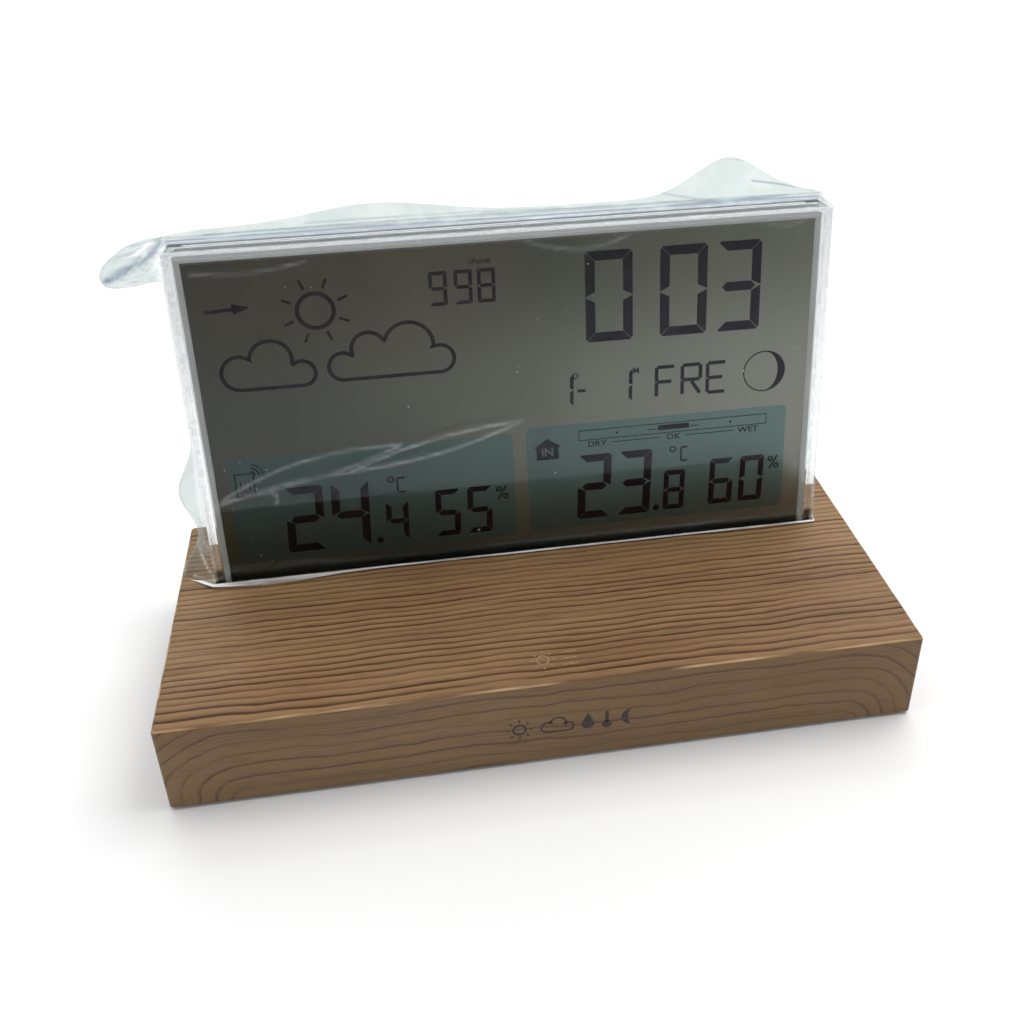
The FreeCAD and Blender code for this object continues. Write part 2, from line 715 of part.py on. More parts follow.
# The ear leaves the left edge at EAR_ROOT, reaches out, hangs down and comes back at EAR_TOP.
EAR_ROOT, EAR_TOP, EAR_REACH, EAR_DROOP = 67.5, 74.5, 12.5, 5.5
# The left edge flares out in two waves: (middle, half width, reach).
FLARE_FOOT, FLARE_TOP, FLARES = 1.6, 36.0, ((0, 8, 7.0), (20, 8, 5.0))


def hill(at, middle, half_width, height):
    """A smooth hill that has sunk to a third at half_width from its middle."""
    return height * math.exp(-(((at - middle) / half_width) ** 2))


def steps(start, end):
    return [start + (end - start) * i / OUTLINE_STEPS for i in range(OUTLINE_STEPS + 1)]


def fin_outline(half, floor):
    """The fin's outline from its two lower corners up, as (across, height)."""
    tops = [(x, floor + 0.9 + min((half - abs(x)) / 8, 1) * (FIN_LOW + hill(x, *FIN_SWELL) + hill(x, *FIN_PEAK)))
            for x in steps(-half, half)]
    return [(-half, floor), *tops, (half, floor)]


def ear_outline(edge):
    points = []
    for share in steps(0, 1):
        reach = max(math.sin(share * math.pi), 0) ** 0.6
        height = EAR_ROOT + (EAR_TOP - EAR_ROOT) * share - EAR_DROOP * (1 - share) * reach
        points.append((edge - EAR_REACH * reach, height))
    return points


def flare_outline(edge):
    side = [(edge - sum(hill(z, *flare) for flare in FLARES), z) for z in steps(FLARE_FOOT, FLARE_TOP)]
    return [(edge, FLARE_FOOT), *side, (edge, FLARE_TOP)]


def outline_plate(points, front, back):
    """A thin plate in the display's own frame with a polygonal outline."""
    spots = [vector(x, front, z) for x, z in points]
    wire = Part.makePolygon([*spots, spots[0]])
    plate = doc.addObject("Part::Feature", "plate")
    plate.Shape = Part.Face(wire).extrude(vector(0, back - front, 0))
    return plate


def protective_film():
    """The loose clear sleeve over the display, open below, with its fin, ear and flared edge."""
    gap = size("sleeve_gap")
    wall = size("sleeve_wall")
    depth = size("case_depth")
    rise = size("case_rise")
    outer = box(("- case_width / 2 - sleeve_gap - sleeve_wall", "- sleeve_gap - sleeve_wall", "sleeve_hem"),
                ("case_width / 2 + sleeve_gap + sleeve_wall", "case_depth + sleeve_gap + sleeve_wall",
                 "case_rise + sleeve_gap + sleeve_wall"))
    inner = box(("- case_width / 2 - sleeve_gap", "- sleeve_gap", "0"),
                ("case_width / 2 + sleeve_gap", "case_depth + sleeve_gap", "case_rise + sleeve_gap"))
    half = size("case_width") / 2
    edge = -half - gap - wall / 2
    side_front = depth - size("sleeve_side")
    plates = [
        outline_plate(fin_outline(half, rise + gap), depth + gap, depth + gap + wall),
        outline_plate(ear_outline(edge), side_front, side_front + wall),
        outline_plate(flare_outline(edge), side_front, side_front + wall),
    ]
    sleeve = joined([cut(outer, [inner]), *plates])
    doc.recompute()
    film = doc.addObject("Part::Feature", "protective_film_shape")
    film.Shape = sleeve.Shape.copy()
    node(in_display(film), "protective_film")


base_shell()
bottom_cover()
grip_strips()
cover_screws()
battery_door()
batteries()
battery_contacts()
main_pcb()
board_parts()
touch_sensor()
usb_socket()
rear_controls()
display_case()
display_stack()
lcd_flex()
display_bracket()
protective_film()
doc.recompute()

for obj in doc.Objects:
    if any(word in obj.State for word in ("Invalid", "Error")):
        raise ValueError(f"{obj.Name} ({obj.Label}) failed: {obj.State}")
for obj in nodes:
    if obj.Shape.isNull() or not obj.Shape.isValid():
        raise ValueError(f"{obj.Label} has no valid shape")

os.makedirs("parts", exist_ok=True)
for obj in nodes:
    obj.Shape.exportStep(f"parts/{obj.Label}.step")
print(len(nodes), "sub-parts written")
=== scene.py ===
import json
import math

import bmesh
import bpy
import numpy as np
from mathutils import Matrix, Vector


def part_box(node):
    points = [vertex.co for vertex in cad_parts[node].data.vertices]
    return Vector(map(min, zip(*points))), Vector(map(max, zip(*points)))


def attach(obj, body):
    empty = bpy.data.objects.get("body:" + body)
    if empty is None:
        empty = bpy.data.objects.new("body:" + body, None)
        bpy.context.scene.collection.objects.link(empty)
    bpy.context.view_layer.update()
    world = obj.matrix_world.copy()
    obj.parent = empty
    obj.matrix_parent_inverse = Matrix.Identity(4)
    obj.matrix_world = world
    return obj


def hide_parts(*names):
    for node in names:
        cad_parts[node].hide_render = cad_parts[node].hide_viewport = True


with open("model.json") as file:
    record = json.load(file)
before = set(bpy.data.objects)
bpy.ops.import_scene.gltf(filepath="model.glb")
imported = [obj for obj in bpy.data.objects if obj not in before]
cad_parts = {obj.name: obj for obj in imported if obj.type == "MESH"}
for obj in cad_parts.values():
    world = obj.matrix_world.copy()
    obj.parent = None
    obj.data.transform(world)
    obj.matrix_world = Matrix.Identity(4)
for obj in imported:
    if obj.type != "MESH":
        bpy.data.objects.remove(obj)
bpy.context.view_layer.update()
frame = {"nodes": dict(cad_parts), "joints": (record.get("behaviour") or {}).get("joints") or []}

# Home weather station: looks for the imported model, which stands on the floor with X to the right,
# Y to the back and Z up. Small sizes are written in millimetres and scaled by MM.

MM = 0.001

BASE_LOW, BASE_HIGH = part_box("base_shell")
BASE_TOP = BASE_HIGH.z
BASE_FRONT = BASE_LOW.y


# ---------------------------------------------------------------- the display's own directions

RIGHT = Vector((1, 0, 0))
UP = Vector(next(j["axis"] for j in frame["joints"] if j["name"] == "film_removal")).normalized()
BACK = UP.cross(RIGHT)


def nearest(node):
    """How far back a node's front plane is, along the display's own depth direction."""
    return min(BACK.dot(v.co) for v in frame["nodes"][node].data.vertices)


CASE_FRONT = nearest("front_case")
POLARIZER_DEPTH = (nearest("front_polarizer") - CASE_FRONT) / MM
# the point where the display's front plane meets the top of the base, in the middle
ORIGIN = Vector((0, (CASE_FRONT - BACK.z * BASE_TOP) / BACK.y, BASE_TOP))


def on_display(across, height, depth):
    """A point in the display's own frame, in millimetres: height is from the base top, up the front face."""
    return ORIGIN + (RIGHT * across + UP * height + BACK * depth) * MM


# ---------------------------------------------------------------- materials


class Look:
    """A procedural material. Each call adds one node and returns its output socket."""

    def __init__(self, name, **sockets):
        self.material = bpy.data.materials.new(name)
        self.material.use_nodes = True
        self.tree = self.material.node_tree
        self.shader = self.tree.nodes["Principled BSDF"]
        self.output = self.tree.nodes["Material Output"]
        self.point = self.add("ShaderNodeTexCoord", output="Object")
        self.set(**sockets)

    def add(self, kind, inputs=None, output=0, **settings):
        made = self.tree.nodes.new(kind)
        for name, value in settings.items():
            setattr(made, name, value)
        for key, value in (inputs or {}).items():
            self.feed(made.inputs[key], value)
        return made.outputs[output]

    def feed(self, socket, value):
        if isinstance(value, bpy.types.NodeSocket):
            self.tree.links.new(value, socket)
        else:
            socket.default_value = value

    def set(self, **sockets):
        """Sets sockets of the Principled shader, named with _ for each space."""
        for name, value in sockets.items():
            if isinstance(value, tuple) and len(value) == 3:
                value = (*value, 1.0)
            self.feed(self.shader.inputs[name.replace("_", " ")], value)

    def math(self, operation, a, b=0.0, clamp=False):
        return self.add("ShaderNodeMath", {0: a, 1: b}, operation=operation, use_clamp=clamp)

    def noise(self, size, detail=2.0, stretch=None, roughness=0.5):
        """Noise from 0 to 1 whose features are about size millimetres across, longer along stretched axes."""
        where = self.point
        if stretch:
            where = self.add("ShaderNodeMapping", {"Vector": where, "Scale": stretch})
        values = {"Vector": where, "Scale": 1 / (size * MM), "Detail": detail, "Roughness": roughness}
        return self.add("ShaderNodeTexNoise", values)

    def span(self, value, low, high, to_low=0.0, to_high=1.0):
        """Maps low..high to to_low..to_high smoothly, and holds the ends."""
        values = {"Value": value, "From Min": low, "From Max": high, "To Min": to_low, "To Max": to_high}
        return self.add("ShaderNodeMapRange", values, interpolation_type="SMOOTHSTEP")

    def ramp(self, value, stops):
        output = self.add("ShaderNodeValToRGB", {"Fac": value})
        elements = output.node.color_ramp.elements
        while len(elements) < len(stops):
            elements.new(0.5)
        for element, (place, level) in zip(elements, stops):
            element.position = place
            element.color = (level, level, level, 1) if isinstance(level, (int, float)) else (*level, 1)
        return output

    def mix(self, factor, a, b, blend="MIX"):
        a, b = ((*c, 1.0) if isinstance(c, tuple) and len(c) == 3 else c for c in (a, b))
        values = {0: factor, 6: a, 7: b}
        return self.add("ShaderNodeMix", values, output=2, data_type="RGBA", blend_type=blend)

    def bump(self, height, depth_mm, strength=1.0):
        values = {"Height": height, "Distance": depth_mm * MM, "Strength": strength}
        self.set(Normal=self.add("ShaderNodeBump", values))

    def surface(self, shader):
        self.tree.links.new(shader, self.output.inputs["Surface"])

    def lamp_rays_pass(self):
        """Lets lamps light what is behind this see-through material."""
        lamp_ray = self.add("ShaderNodeLightPath", output="Is Shadow Ray")
        clear = self.add("ShaderNodeBsdfTransparent")
        self.surface(self.add("ShaderNodeMixShader", {0: lamp_ray, 1: self.shader.outputs[0], 2: clear}))


def wood_look():
    """Printed wood grain: straight lines on the top, and nested lines that bend down at the front's ends."""
    line_pitch = 3.0
    bend_start = 60.0
    look = Look("printed_wood", Specular_IOR_Level=0.16)
    scaled = look.add("ShaderNodeVectorMath", {0: look.point, 3: 1 / MM}, operation="SCALE")
    split = look.add("ShaderNodeSeparateXYZ", {0: scaled}).node
    x, y, z = split.outputs
    wave = look.math("SUBTRACT", look.noise(26, 2, (1.0, 1.6, 1.6)), 0.5)
    ripple = look.math("SUBTRACT", look.noise(6, 2, (0.6, 1.5, 1.5)), 0.5)
    shiver = look.math("SUBTRACT", look.noise(1.6, 1, (0.5, 1.2, 1.2)), 0.5)
    wander = look.math("ADD", look.math("MULTIPLY", wave, 1.5), look.math("MULTIPLY", ripple, 0.28))
    wander = look.math("ADD", wander, look.math("MULTIPLY", shiver, 0.10))
    # the front: circles about the two lower corners, and level lines between them
    past = look.math("MAXIMUM", look.math("SUBTRACT", look.math("ABSOLUTE", x), bend_start), 0.0)
    squares = look.math("ADD", look.math("MULTIPLY", past, past), look.math("MULTIPLY", z, z))
    bent = look.math("SQRT", squares)
    face_count = look.math("ADD", look.math("DIVIDE", bent, line_pitch), wander)
    # the top: lines further apart near the front edge
    inward = look.math("SUBTRACT", y, BASE_FRONT / MM)
    fading = look.math("EXPONENT", look.math("MULTIPLY", inward, -1 / 6))
    even = look.math("MULTIPLY", inward, 0.62)
    top_count = look.math("ADD", look.math("ADD", even, look.math("MULTIPLY", fading, 1.1)), wander)
    on_top = look.span(z, BASE_TOP / MM - 0.5, BASE_TOP / MM - 0.3)
    near_edge = look.math("SUBTRACT", 1.0, look.span(look.math("ABSOLUTE", look.math(
        "SUBTRACT", z, BASE_TOP / MM - 0.3)), 0.10, 0.24))
    gap = look.math("MULTIPLY", look.math("SUBTRACT", top_count, face_count), on_top)
    count = look.math("ADD", face_count, gap)
    # each line is dark and sharp on one side, and fades out on the other
    across = look.math("FRACT", count)
    top_stops = [(0.0, 0.0), (0.05, 1.0), (0.22, 0.95), (0.38, 0.42), (0.7, 0.10), (1.0, 0.0)]
    face_stops = [(0.0, 0.0), (0.06, 1.0), (0.14, 0.9), (0.24, 0.22), (0.5, 0.04), (1.0, 0.0)]
    top_profile = look.ramp(across, top_stops)
    face_profile = look.ramp(across, face_stops)
    profile = look.mix(on_top, face_profile, top_profile)
    fine = look.math("FRACT", look.math("MULTIPLY", count, 3.7))
    fine_profile = look.ramp(fine, [(0.0, 0.0), (0.15, 1.0), (0.5, 0.25), (1.0, 0.0)])
    each = look.add("ShaderNodeTexWhiteNoise", {"W": look.math("FLOOR", count)}, noise_dimensions="1D")
    along = look.noise(3.2, 3, (0.09, 1.0, 1.0))
    strength = look.math("MULTIPLY", look.span(along, 0.28, 0.58, 0.5, 1.0),
                         look.span(each, 0.0, 1.0, 0.6, 1.0))
    lines = look.math("MULTIPLY", profile, strength)
    fine_lines = look.math("MULTIPLY", fine_profile,
                           look.span(look.noise(5, 2, (0.12, 1, 1)), 0.40, 0.68, 0.0, 0.6))
    darkness = look.math("MAXIMUM", lines, fine_lines)
    # between the lines: warm patches and short pores
    patches = look.span(look.noise(34, 3, (0.5, 1.2, 1.2)), 0.35, 0.7)
    top_pale = look.mix(patches, (0.300, 0.182, 0.088), (0.248, 0.138, 0.064))
    # The front's pale ground is a shaded copy of the top's: painted shade, darker and more olive. The grain
    # lines differ as print.
    face_pale_painted_shade = look.mix(patches, (0.230, 0.147, 0.074), (0.194, 0.118, 0.058))
    pale = look.mix(on_top, face_pale_painted_shade, top_pale)
    pores = look.span(look.noise(0.5, 2, (0.07, 1, 1)), 0.5, 0.72, 0.0, 0.32)
    pale = look.mix(pores, pale, (0.10, 0.055, 0.032))
    colour = look.mix(darkness, pale, look.mix(on_top, (0.105, 0.060, 0.046), (0.044, 0.016, 0.008)))
    # Painted highlight: a lighter tan line, broken by noise, along the rounded front-top edge.
    edge_highlight = look.math("MULTIPLY", near_edge, look.span(look.noise(4, 3, (0.14, 1, 1)), 0.40, 0.6, 0.0, 0.8))
    look.set(Base_Color=look.mix(edge_highlight, colour, (0.62, 0.42, 0.22)))
    look.set(Roughness=look.span(look.noise(1.2, 3), 0.2, 0.8, 0.42, 0.56))
    grooves = look.math("SUBTRACT", 1.0, look.math("MAXIMUM", darkness, look.math("MULTIPLY", pores, 0.8)))
    look.bump(grooves, 0.035, 0.6)
    return look.material


def moulded_look(name, light, dark, roughness=0.5, texture_mm=0.35, depth_mm=0.02, **sockets):
    """Moulded plastic or rubber: a fine pebbled texture, with a little dust and wear in its colour."""
    look = Look(name, **sockets)
    cloud = look.span(look.noise(9, 4), 0.3, 0.7)
    look.set(Base_Color=look.mix(cloud, light, dark))
    grain = look.noise(texture_mm, 2)
    look.set(Roughness=look.span(look.noise(4, 3), 0.25, 0.75, roughness - 0.07, roughness + 0.07))
    look.bump(grain, depth_mm, 0.5)
    return look.material


def metal_look(name, colour, shadow, roughness=0.28, brushed=(1.0, 1.0, 0.08)):
    look = Look(name, Metallic=1.0)
    tarnish = look.span(look.noise(3, 4), 0.35, 0.75)
    look.set(Base_Color=look.mix(tarnish, colour, shadow))
    streaks = look.noise(0.25, 3, brushed)
    look.set(Roughness=look.span(streaks, 0.2, 0.8, roughness - 0.08, roughness + 0.12))
    look.bump(streaks, 0.006, 0.4)
    return look.material


def acrylic_look():
    """Clear moulded acrylic, with faint handling marks. Over the display it lets light straight through,
    and the display's own material carries the gloss of both."""
    look = Look("clear_acrylic", IOR=1.49, Transmission_Weight=1.0, Roughness=0.0)
    handled = look.span(look.noise(5, 4), 0.45, 0.8)
    look.set(Base_Color=look.mix(handled, (0.985, 0.995, 1.0), (0.95, 0.97, 0.975)))
    look.lamp_rays_pass()
    low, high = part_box("front_polarizer")
    x, y, z = look.add("ShaderNodeSeparateXYZ", {0: look.point}).node.outputs
    beside = look.math("GREATER_THAN", look.math("ABSOLUTE", x), high.x)
    above = look.math("GREATER_THAN", z, high.z)
    solid = look.math("MAXIMUM", beside, above)
    window = look.add("ShaderNodeBsdfTransparent", {"Color": (0.99, 0.995, 1.0, 1.0)})
    acrylic = look.output.inputs["Surface"].links[0].from_socket
    look.surface(look.add("ShaderNodeMixShader", {0: solid, 1: window, 2: acrylic}))
    return look.material


def border_glass_look():
    """The pale grey band of glass outside the polarizer, over its seal."""
    look = Look("border_glass", Specular_IOR_Level=0.2, Coat_Weight=0.2)
    tone = look.span(look.noise(14, 3), 0.3, 0.7)
    look.set(Base_Color=look.mix(tone, (0.40, 0.41, 0.39), (0.33, 0.34, 0.325)))
    look.set(Roughness=look.span(look.noise(2, 2), 0.3, 0.7, 0.18, 0.28))
    return look.material


def display_look(name, left, right, diffuse=0.014, roughness=0.285):
    """Liquid crystal in front of its reflector: a dark tinted mirror with an even diffuse part. It is painted
    paler towards one side, and browner and dimmer towards the top, as the room's reflections make it look."""
    look = Look(name, Coat_Weight=0.6, Coat_Roughness=0.03)
    x, _, z = look.add("ShaderNodeSeparateXYZ", {0: look.point}).node.outputs
    uneven = look.math("MULTIPLY", look.math("SUBTRACT", look.noise(40, 2), 0.5), 0.04)
    side = look.span(look.math("ADD", x, uneven), -0.070, 0.075)
    high = look.span(look.math("ADD", z, look.math("MULTIPLY", uneven, 0.4)), 0.056, 0.086)
    dimmed = look.ramp(side, [(0.0, (0.98, 0.80, 0.68)), (0.30, (0.86, 0.72, 0.62)),
                              (0.50, (0.50, 0.50, 0.45)), (0.75, (0.58, 0.58, 0.52)),
                              (1.0, (0.72, 0.72, 0.64))])
    room = look.mix(high, (1, 1, 1), dimmed)
    look.set(Base_Color=look.mix(1.0, look.mix(side, left, right), room, "MULTIPLY"))
    brightness = look.math("ADD", left[1], look.math("MULTIPLY", side, right[1] - left[1]))
    look.set(Metallic=look.math("SUBTRACT", 1.0, look.math("DIVIDE", diffuse, brightness), clamp=True))
    look.set(Roughness=look.span(look.noise(1.0, 2), 0.3, 0.7, roughness - 0.005, roughness + 0.005))
    return look.material


def board_look():
    """Green solder mask over copper tracks."""
    look = Look("circuit_board", Specular_IOR_Level=0.5)
    values = {"Vector": look.point, "Scale": 1 / (4.0 * MM)}
    cells = look.add("ShaderNodeTexVoronoi", values, feature="DISTANCE_TO_EDGE", distance="MANHATTAN")
    tracks = look.span(cells, 0.05, 0.09, 1.0, 0.0)
    mask = look.mix(look.span(look.noise(12, 3), 0.3, 0.7), (0.012, 0.10, 0.04), (0.018, 0.13, 0.055))
    look.set(Base_Color=look.mix(tracks, mask, (0.035, 0.20, 0.08)))
    look.set(Roughness=look.span(look.noise(2, 3), 0.3, 0.7, 0.28, 0.4))
    look.bump(tracks, 0.03, 0.6)
    return look.material


def cell_look():
    """A battery's printed jacket: dark green with a metallic band near one end."""
    look = Look("cell_jacket", Coat_Weight=0.4, Coat_Roughness=0.12)
    x = look.add("ShaderNodeSeparateXYZ", {0: look.point}).node.outputs[0]
    low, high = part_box("battery_1")
    share = look.math("DIVIDE", look.math("SUBTRACT", x, low.x), high.x - low.x)
    band = look.ramp(share, [(0.0, (0.5, 0.5, 0.5)), (0.03, (0.02, 0.07, 0.045)), (0.66, (0.02, 0.07, 0.045)),
                             (0.68, (0.45, 0.3, 0.12)), (0.94, (0.45, 0.3, 0.12)), (0.97, (0.5, 0.5, 0.5))])
    band.node.color_ramp.interpolation = "CONSTANT"
    look.set(Base_Color=look.mix(look.span(look.noise(3, 4), 0.4, 0.8, 0.0, 0.3), band, (0.02, 0.02, 0.02)))
    look.set(Roughness=look.span(look.noise(1.5, 3), 0.3, 0.7, 0.24, 0.38))
    return look.material


def film_look():
    """Thin clear film. Three values on its mesh vary it: milk_and_highlight, where creases scatter light and
    where bright lines of painted highlight lie; tint, where layers lie on each other and pass less; and
    fold_shade, painted shade where it is bunched into dark streaks."""
    look = Look("loose_clear_film", Specular_IOR_Level=0.6)
    milk_and_highlight, tint, fold_shade = (look.add("ShaderNodeAttribute", output="Fac", attribute_name=n) for n in FILM_VALUES)
    streak = look.noise(1.6, 4, (0.22, 0.6, 1.0), 0.6)
    dust = look.span(look.noise(0.8, 1), 0.80, 0.84, 0.0, 0.5)
    look.set(Base_Color=look.mix(streak, (0.86, 0.90, 0.91), (0.99, 1.0, 1.0)))
    look.set(Roughness=look.span(streak, 0.3, 0.7, 0.10, 0.24))
    look.bump(look.noise(2.6, 3, (0.5, 1.0, 1.0)), 0.10, 0.5)
    uneven = look.span(look.noise(6, 3), 0.3, 0.7, 0.75, 1.1)
    passed = look.mix(look.math("MULTIPLY", tint, uneven), (0.99, 0.993, 0.993), (0.79, 0.832, 0.822))
    # Painted shade: along folds the film passes only a dark blue-grey.
    dark = look.math("MULTIPLY", fold_shade, look.span(streak, 0.30, 0.52, 0.45, 1.0))
    passed = look.mix(dark, passed, (0.40, 0.46, 0.55))
    clear = look.add("ShaderNodeBsdfTransparent", {"Color": passed})
    gloss = look.math("MINIMUM", look.add("ShaderNodeFresnel", {"IOR": 1.4}), 0.2)
    mirror = look.math("MULTIPLY", gloss, tint)
    # Milk whitens the film at creases; where it is strong it lays near solid white lines of painted
    # highlight.
    veil_and_highlight = look.math("MULTIPLY", milk_and_highlight, look.span(streak, 0.32, 0.72, 0.12, 0.42))
    creased = look.math("MAXIMUM", veil_and_highlight, look.math("SUBTRACT", milk_and_highlight, 1.15))
    solid = look.math("ADD", mirror, look.math("MAXIMUM", creased, dust), clamp=True)
    look.surface(look.add("ShaderNodeMixShader", {0: solid, 1: clear, 2: look.shader.outputs[0]}))
    return look.material


def printed_look(name, colour, other):
    """Ink printed on the base."""
    look = Look(name, Specular_IOR_Level=0.3)
    look.set(Base_Color=look.mix(look.span(look.noise(0.8, 3), 0.35, 0.65), colour, other))
    look.set(Roughness=look.span(look.noise(0.6, 2), 0.3, 0.7, 0.4, 0.55))
    return look.material


FILM_VALUES = ("milk_and_highlight", "tint", "fold_shade")

LOOKS = {
    "wood_finish": wood_look(),
    "black_plastic": moulded_look("black_plastic", (0.022, 0.022, 0.024), (0.034, 0.034, 0.036), 0.5),
    "white_plastic": moulded_look("white_plastic", (0.72, 0.72, 0.70), (0.64, 0.64, 0.61), 0.42),
    "button_plastic": moulded_look("button_plastic", (0.05, 0.045, 0.04), (0.035, 0.03, 0.028), 0.38),
    "clear_acrylic": acrylic_look(),
    "lcd_glass": border_glass_look(),
    "lcd_face": display_look("display_ground", (0.0300, 0.0310, 0.0195), (0.184, 0.188, 0.158)),
    "white_film": moulded_look("reflector_film", (0.84, 0.84, 0.83), (0.78, 0.78, 0.78), 0.25, 0.8, 0.004),
    "circuit_board": board_look(),
    "dark_epoxy": moulded_look("dark_epoxy", (0.018, 0.018, 0.018), (0.028, 0.028, 0.027), 0.6, 0.15),
    "ceramic_white": moulded_look("sensor_body", (0.70, 0.70, 0.68), (0.6, 0.6, 0.57), 0.35, 0.2, 0.005),
    "steel": metal_look("nickel_steel", (0.60, 0.60, 0.61), (0.42, 0.42, 0.43)),
    "copper": metal_look("copper_wire", (0.72, 0.38, 0.20), (0.45, 0.20, 0.10), 0.3),
    "rubber": moulded_look("grip_rubber", (0.024, 0.024, 0.024), (0.04, 0.04, 0.04), 0.78, 0.6, 0.05),
    "cell_jacket": cell_look(),
    "flex_film": moulded_look("amber_flex", (0.42, 0.20, 0.04), (0.32, 0.14, 0.03), 0.3, 0.5, 0.006),
    "clear_film": film_look(),
    "segments": display_look("display_segments", (0.0035, 0.0025, 0.0035), (0.012, 0.007, 0.016), 0.0),
    "panels": display_look("display_panels", (0.023, 0.045, 0.039), (0.092, 0.145, 0.135)),
    "dark_ink": printed_look("dark_ink", (0.030, 0.024, 0.022), (0.055, 0.038, 0.030)),
    "pale_ink": printed_look("pale_ink", (0.26, 0.17, 0.10), (0.34, 0.23, 0.14)),
}

for cad_node in frame["nodes"].values():
    for place in cad_node.material_slots:
        place.material = LOOKS[place.material.name.split(".")[0]]


# ---------------------------------------------------------------- flat artwork


class Artwork:
    """Flat shapes on a plane, given in millimetres, that become one thin solid piece."""

    def __init__(self, at):
        self.at = at  # turns (across, height, lift) in millimetres into a point
        self.mesh = bmesh.new()

    def polygon(self, points):
        self.mesh.faces.new([self.mesh.verts.new((x, y, 0)) for x, y in points])

    def stroke(self, points, width, closed=False):
        """A line of even width along points, with mitred corners."""
        spots = [Vector(p) for p in points]
        count = len(spots)
        sides = []
        for i, spot in enumerate(spots):
            before = spots[i - 1] if closed or i else spot
            after = spots[(i + 1) % count] if closed or i + 1 < count else spot
            first = (spot - before).normalized() if spot != before else (after - spot).normalized()
            second = (after - spot).normalized() if spot != after else first
            normal = Vector((-(first.y + second.y), first.x + second.x)).normalized()
            reach = width / 2 / max(normal.dot(Vector((-first.y, first.x))), 0.4)
            sides.append([self.mesh.verts.new((*(spot + normal * side * reach), 0)) for side in (1, -1)])
        for i in range(count if closed else count - 1):
            (a, b), (c, d) = sides[i], sides[(i + 1) % count]
            self.mesh.faces.new((a, b, d, c))

    def arc(self, centre, radius, start, end, width, steps=20):
        self.stroke(arc_points(centre, radius, start, end, steps), width)

    def ring(self, centre, radius, width, steps=40):
        self.stroke(arc_points(centre, radius, 0, 360 - 360 / steps, steps - 1), width, closed=True)

    def disc(self, centre, radius, steps=16):
        self.polygon(arc_points(centre, radius, 0, 360 - 360 / steps, steps - 1))

    def crescent(self, centre, radius, hidden, start, end, steps=20):
        """The edge of a disc from start to end degrees, down to a copy of that edge squeezed by hidden."""
        outer = arc_points(centre, radius, start, end, steps)
        inner = [(centre[0] + (x - centre[0]) * hidden, y) for x, y in outer]
        for a, b, c, d in zip(outer, outer[1:], inner[1:], inner):
            self.polygon([a, b, c, d])

    def rectangle(self, left, bottom, right, top, corner=0.0):
        if not corner:
            self.polygon([(left, bottom), (right, bottom), (right, top), (left, top)])
            return
        quarters = [((right - corner, bottom + corner), -90), ((right - corner, top - corner), 0),
                    ((left + corner, top - corner), 90), ((left + corner, bottom + corner), 180)]
        points = []
        for centre, start in quarters:
            points += arc_points(centre, corner, start, start + 90, 5)
        self.polygon(points)

    def words(self, text, centre, height, squeeze=1.0):
        """Plain generic words, with capitals of that height."""
        curve = bpy.data.curves.new("words", "FONT")
        curve.body = text
        curve.align_x = "CENTER"
        curve.align_y = "CENTER"
        curve.size = height / 0.69
        curve.offset = height * 0.02
        holder = bpy.data.objects.new("words", curve)
        flat = holder.to_mesh()
        made = [self.mesh.verts.new((centre[0] + v.co.x * squeeze, centre[1] + v.co.y, 0))
                for v in flat.vertices]
        for face in flat.polygons:
            self.mesh.faces.new([made[i] for i in face.vertices])
        holder.to_mesh_clear()
        bpy.data.objects.remove(holder)
        bpy.data.curves.remove(curve)

    def finish(self, name, look, low=0.0, thick=0.03, body="station"):
        """Turns the shapes into a solid from low to low + thick millimetres off the plane."""
        bmesh.ops.remove_doubles(self.mesh, verts=self.mesh.verts, dist=0.0005)
        bmesh.ops.recalc_face_normals(self.mesh, faces=self.mesh.faces)
        made = bmesh.ops.extrude_face_region(self.mesh, geom=list(self.mesh.faces), use_keep_orig=True)
        raised = {v for v in made["geom"] if isinstance(v, bmesh.types.BMVert)}
        for v in self.mesh.verts:
            v.co = self.at(v.co.x, v.co.y, low + (thick if v in raised else 0.0))
        bmesh.ops.recalc_face_normals(self.mesh, faces=self.mesh.faces)
        data = bpy.data.meshes.new(name)
        self.mesh.to_mesh(data)
        self.mesh.free()
        return add_piece(name, data, look, body)


def arc_points(centre, radius, start, end, steps):
    """Points round a circle, from start to end degrees."""
    angles = [math.radians(start + (end - start) * i / steps) for i in range(steps + 1)]
    return [(centre[0] + radius * math.cos(a), centre[1] + radius * math.sin(a)) for a in angles]


def add_piece(name, data, look, body):
    data.materials.append(LOOKS[look])
    piece = bpy.data.objects.new(name, data)
    bpy.context.scene.collection.objects.link(piece)
    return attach(piece, body)


def on_polarizer(across, height, lift):
    return on_display(across, height, POLARIZER_DEPTH - 0.01 - lift)


# ---------------------------------------------------------------- what the display shows

LIT = {
    "0": "abcdef", "1": "bc", "2": "abged", "3": "abgcd", "4": "fgbc", "5": "afgcd", "6": "afgecd",
    "8": "abcdefg", "9": "abfgcd",
}


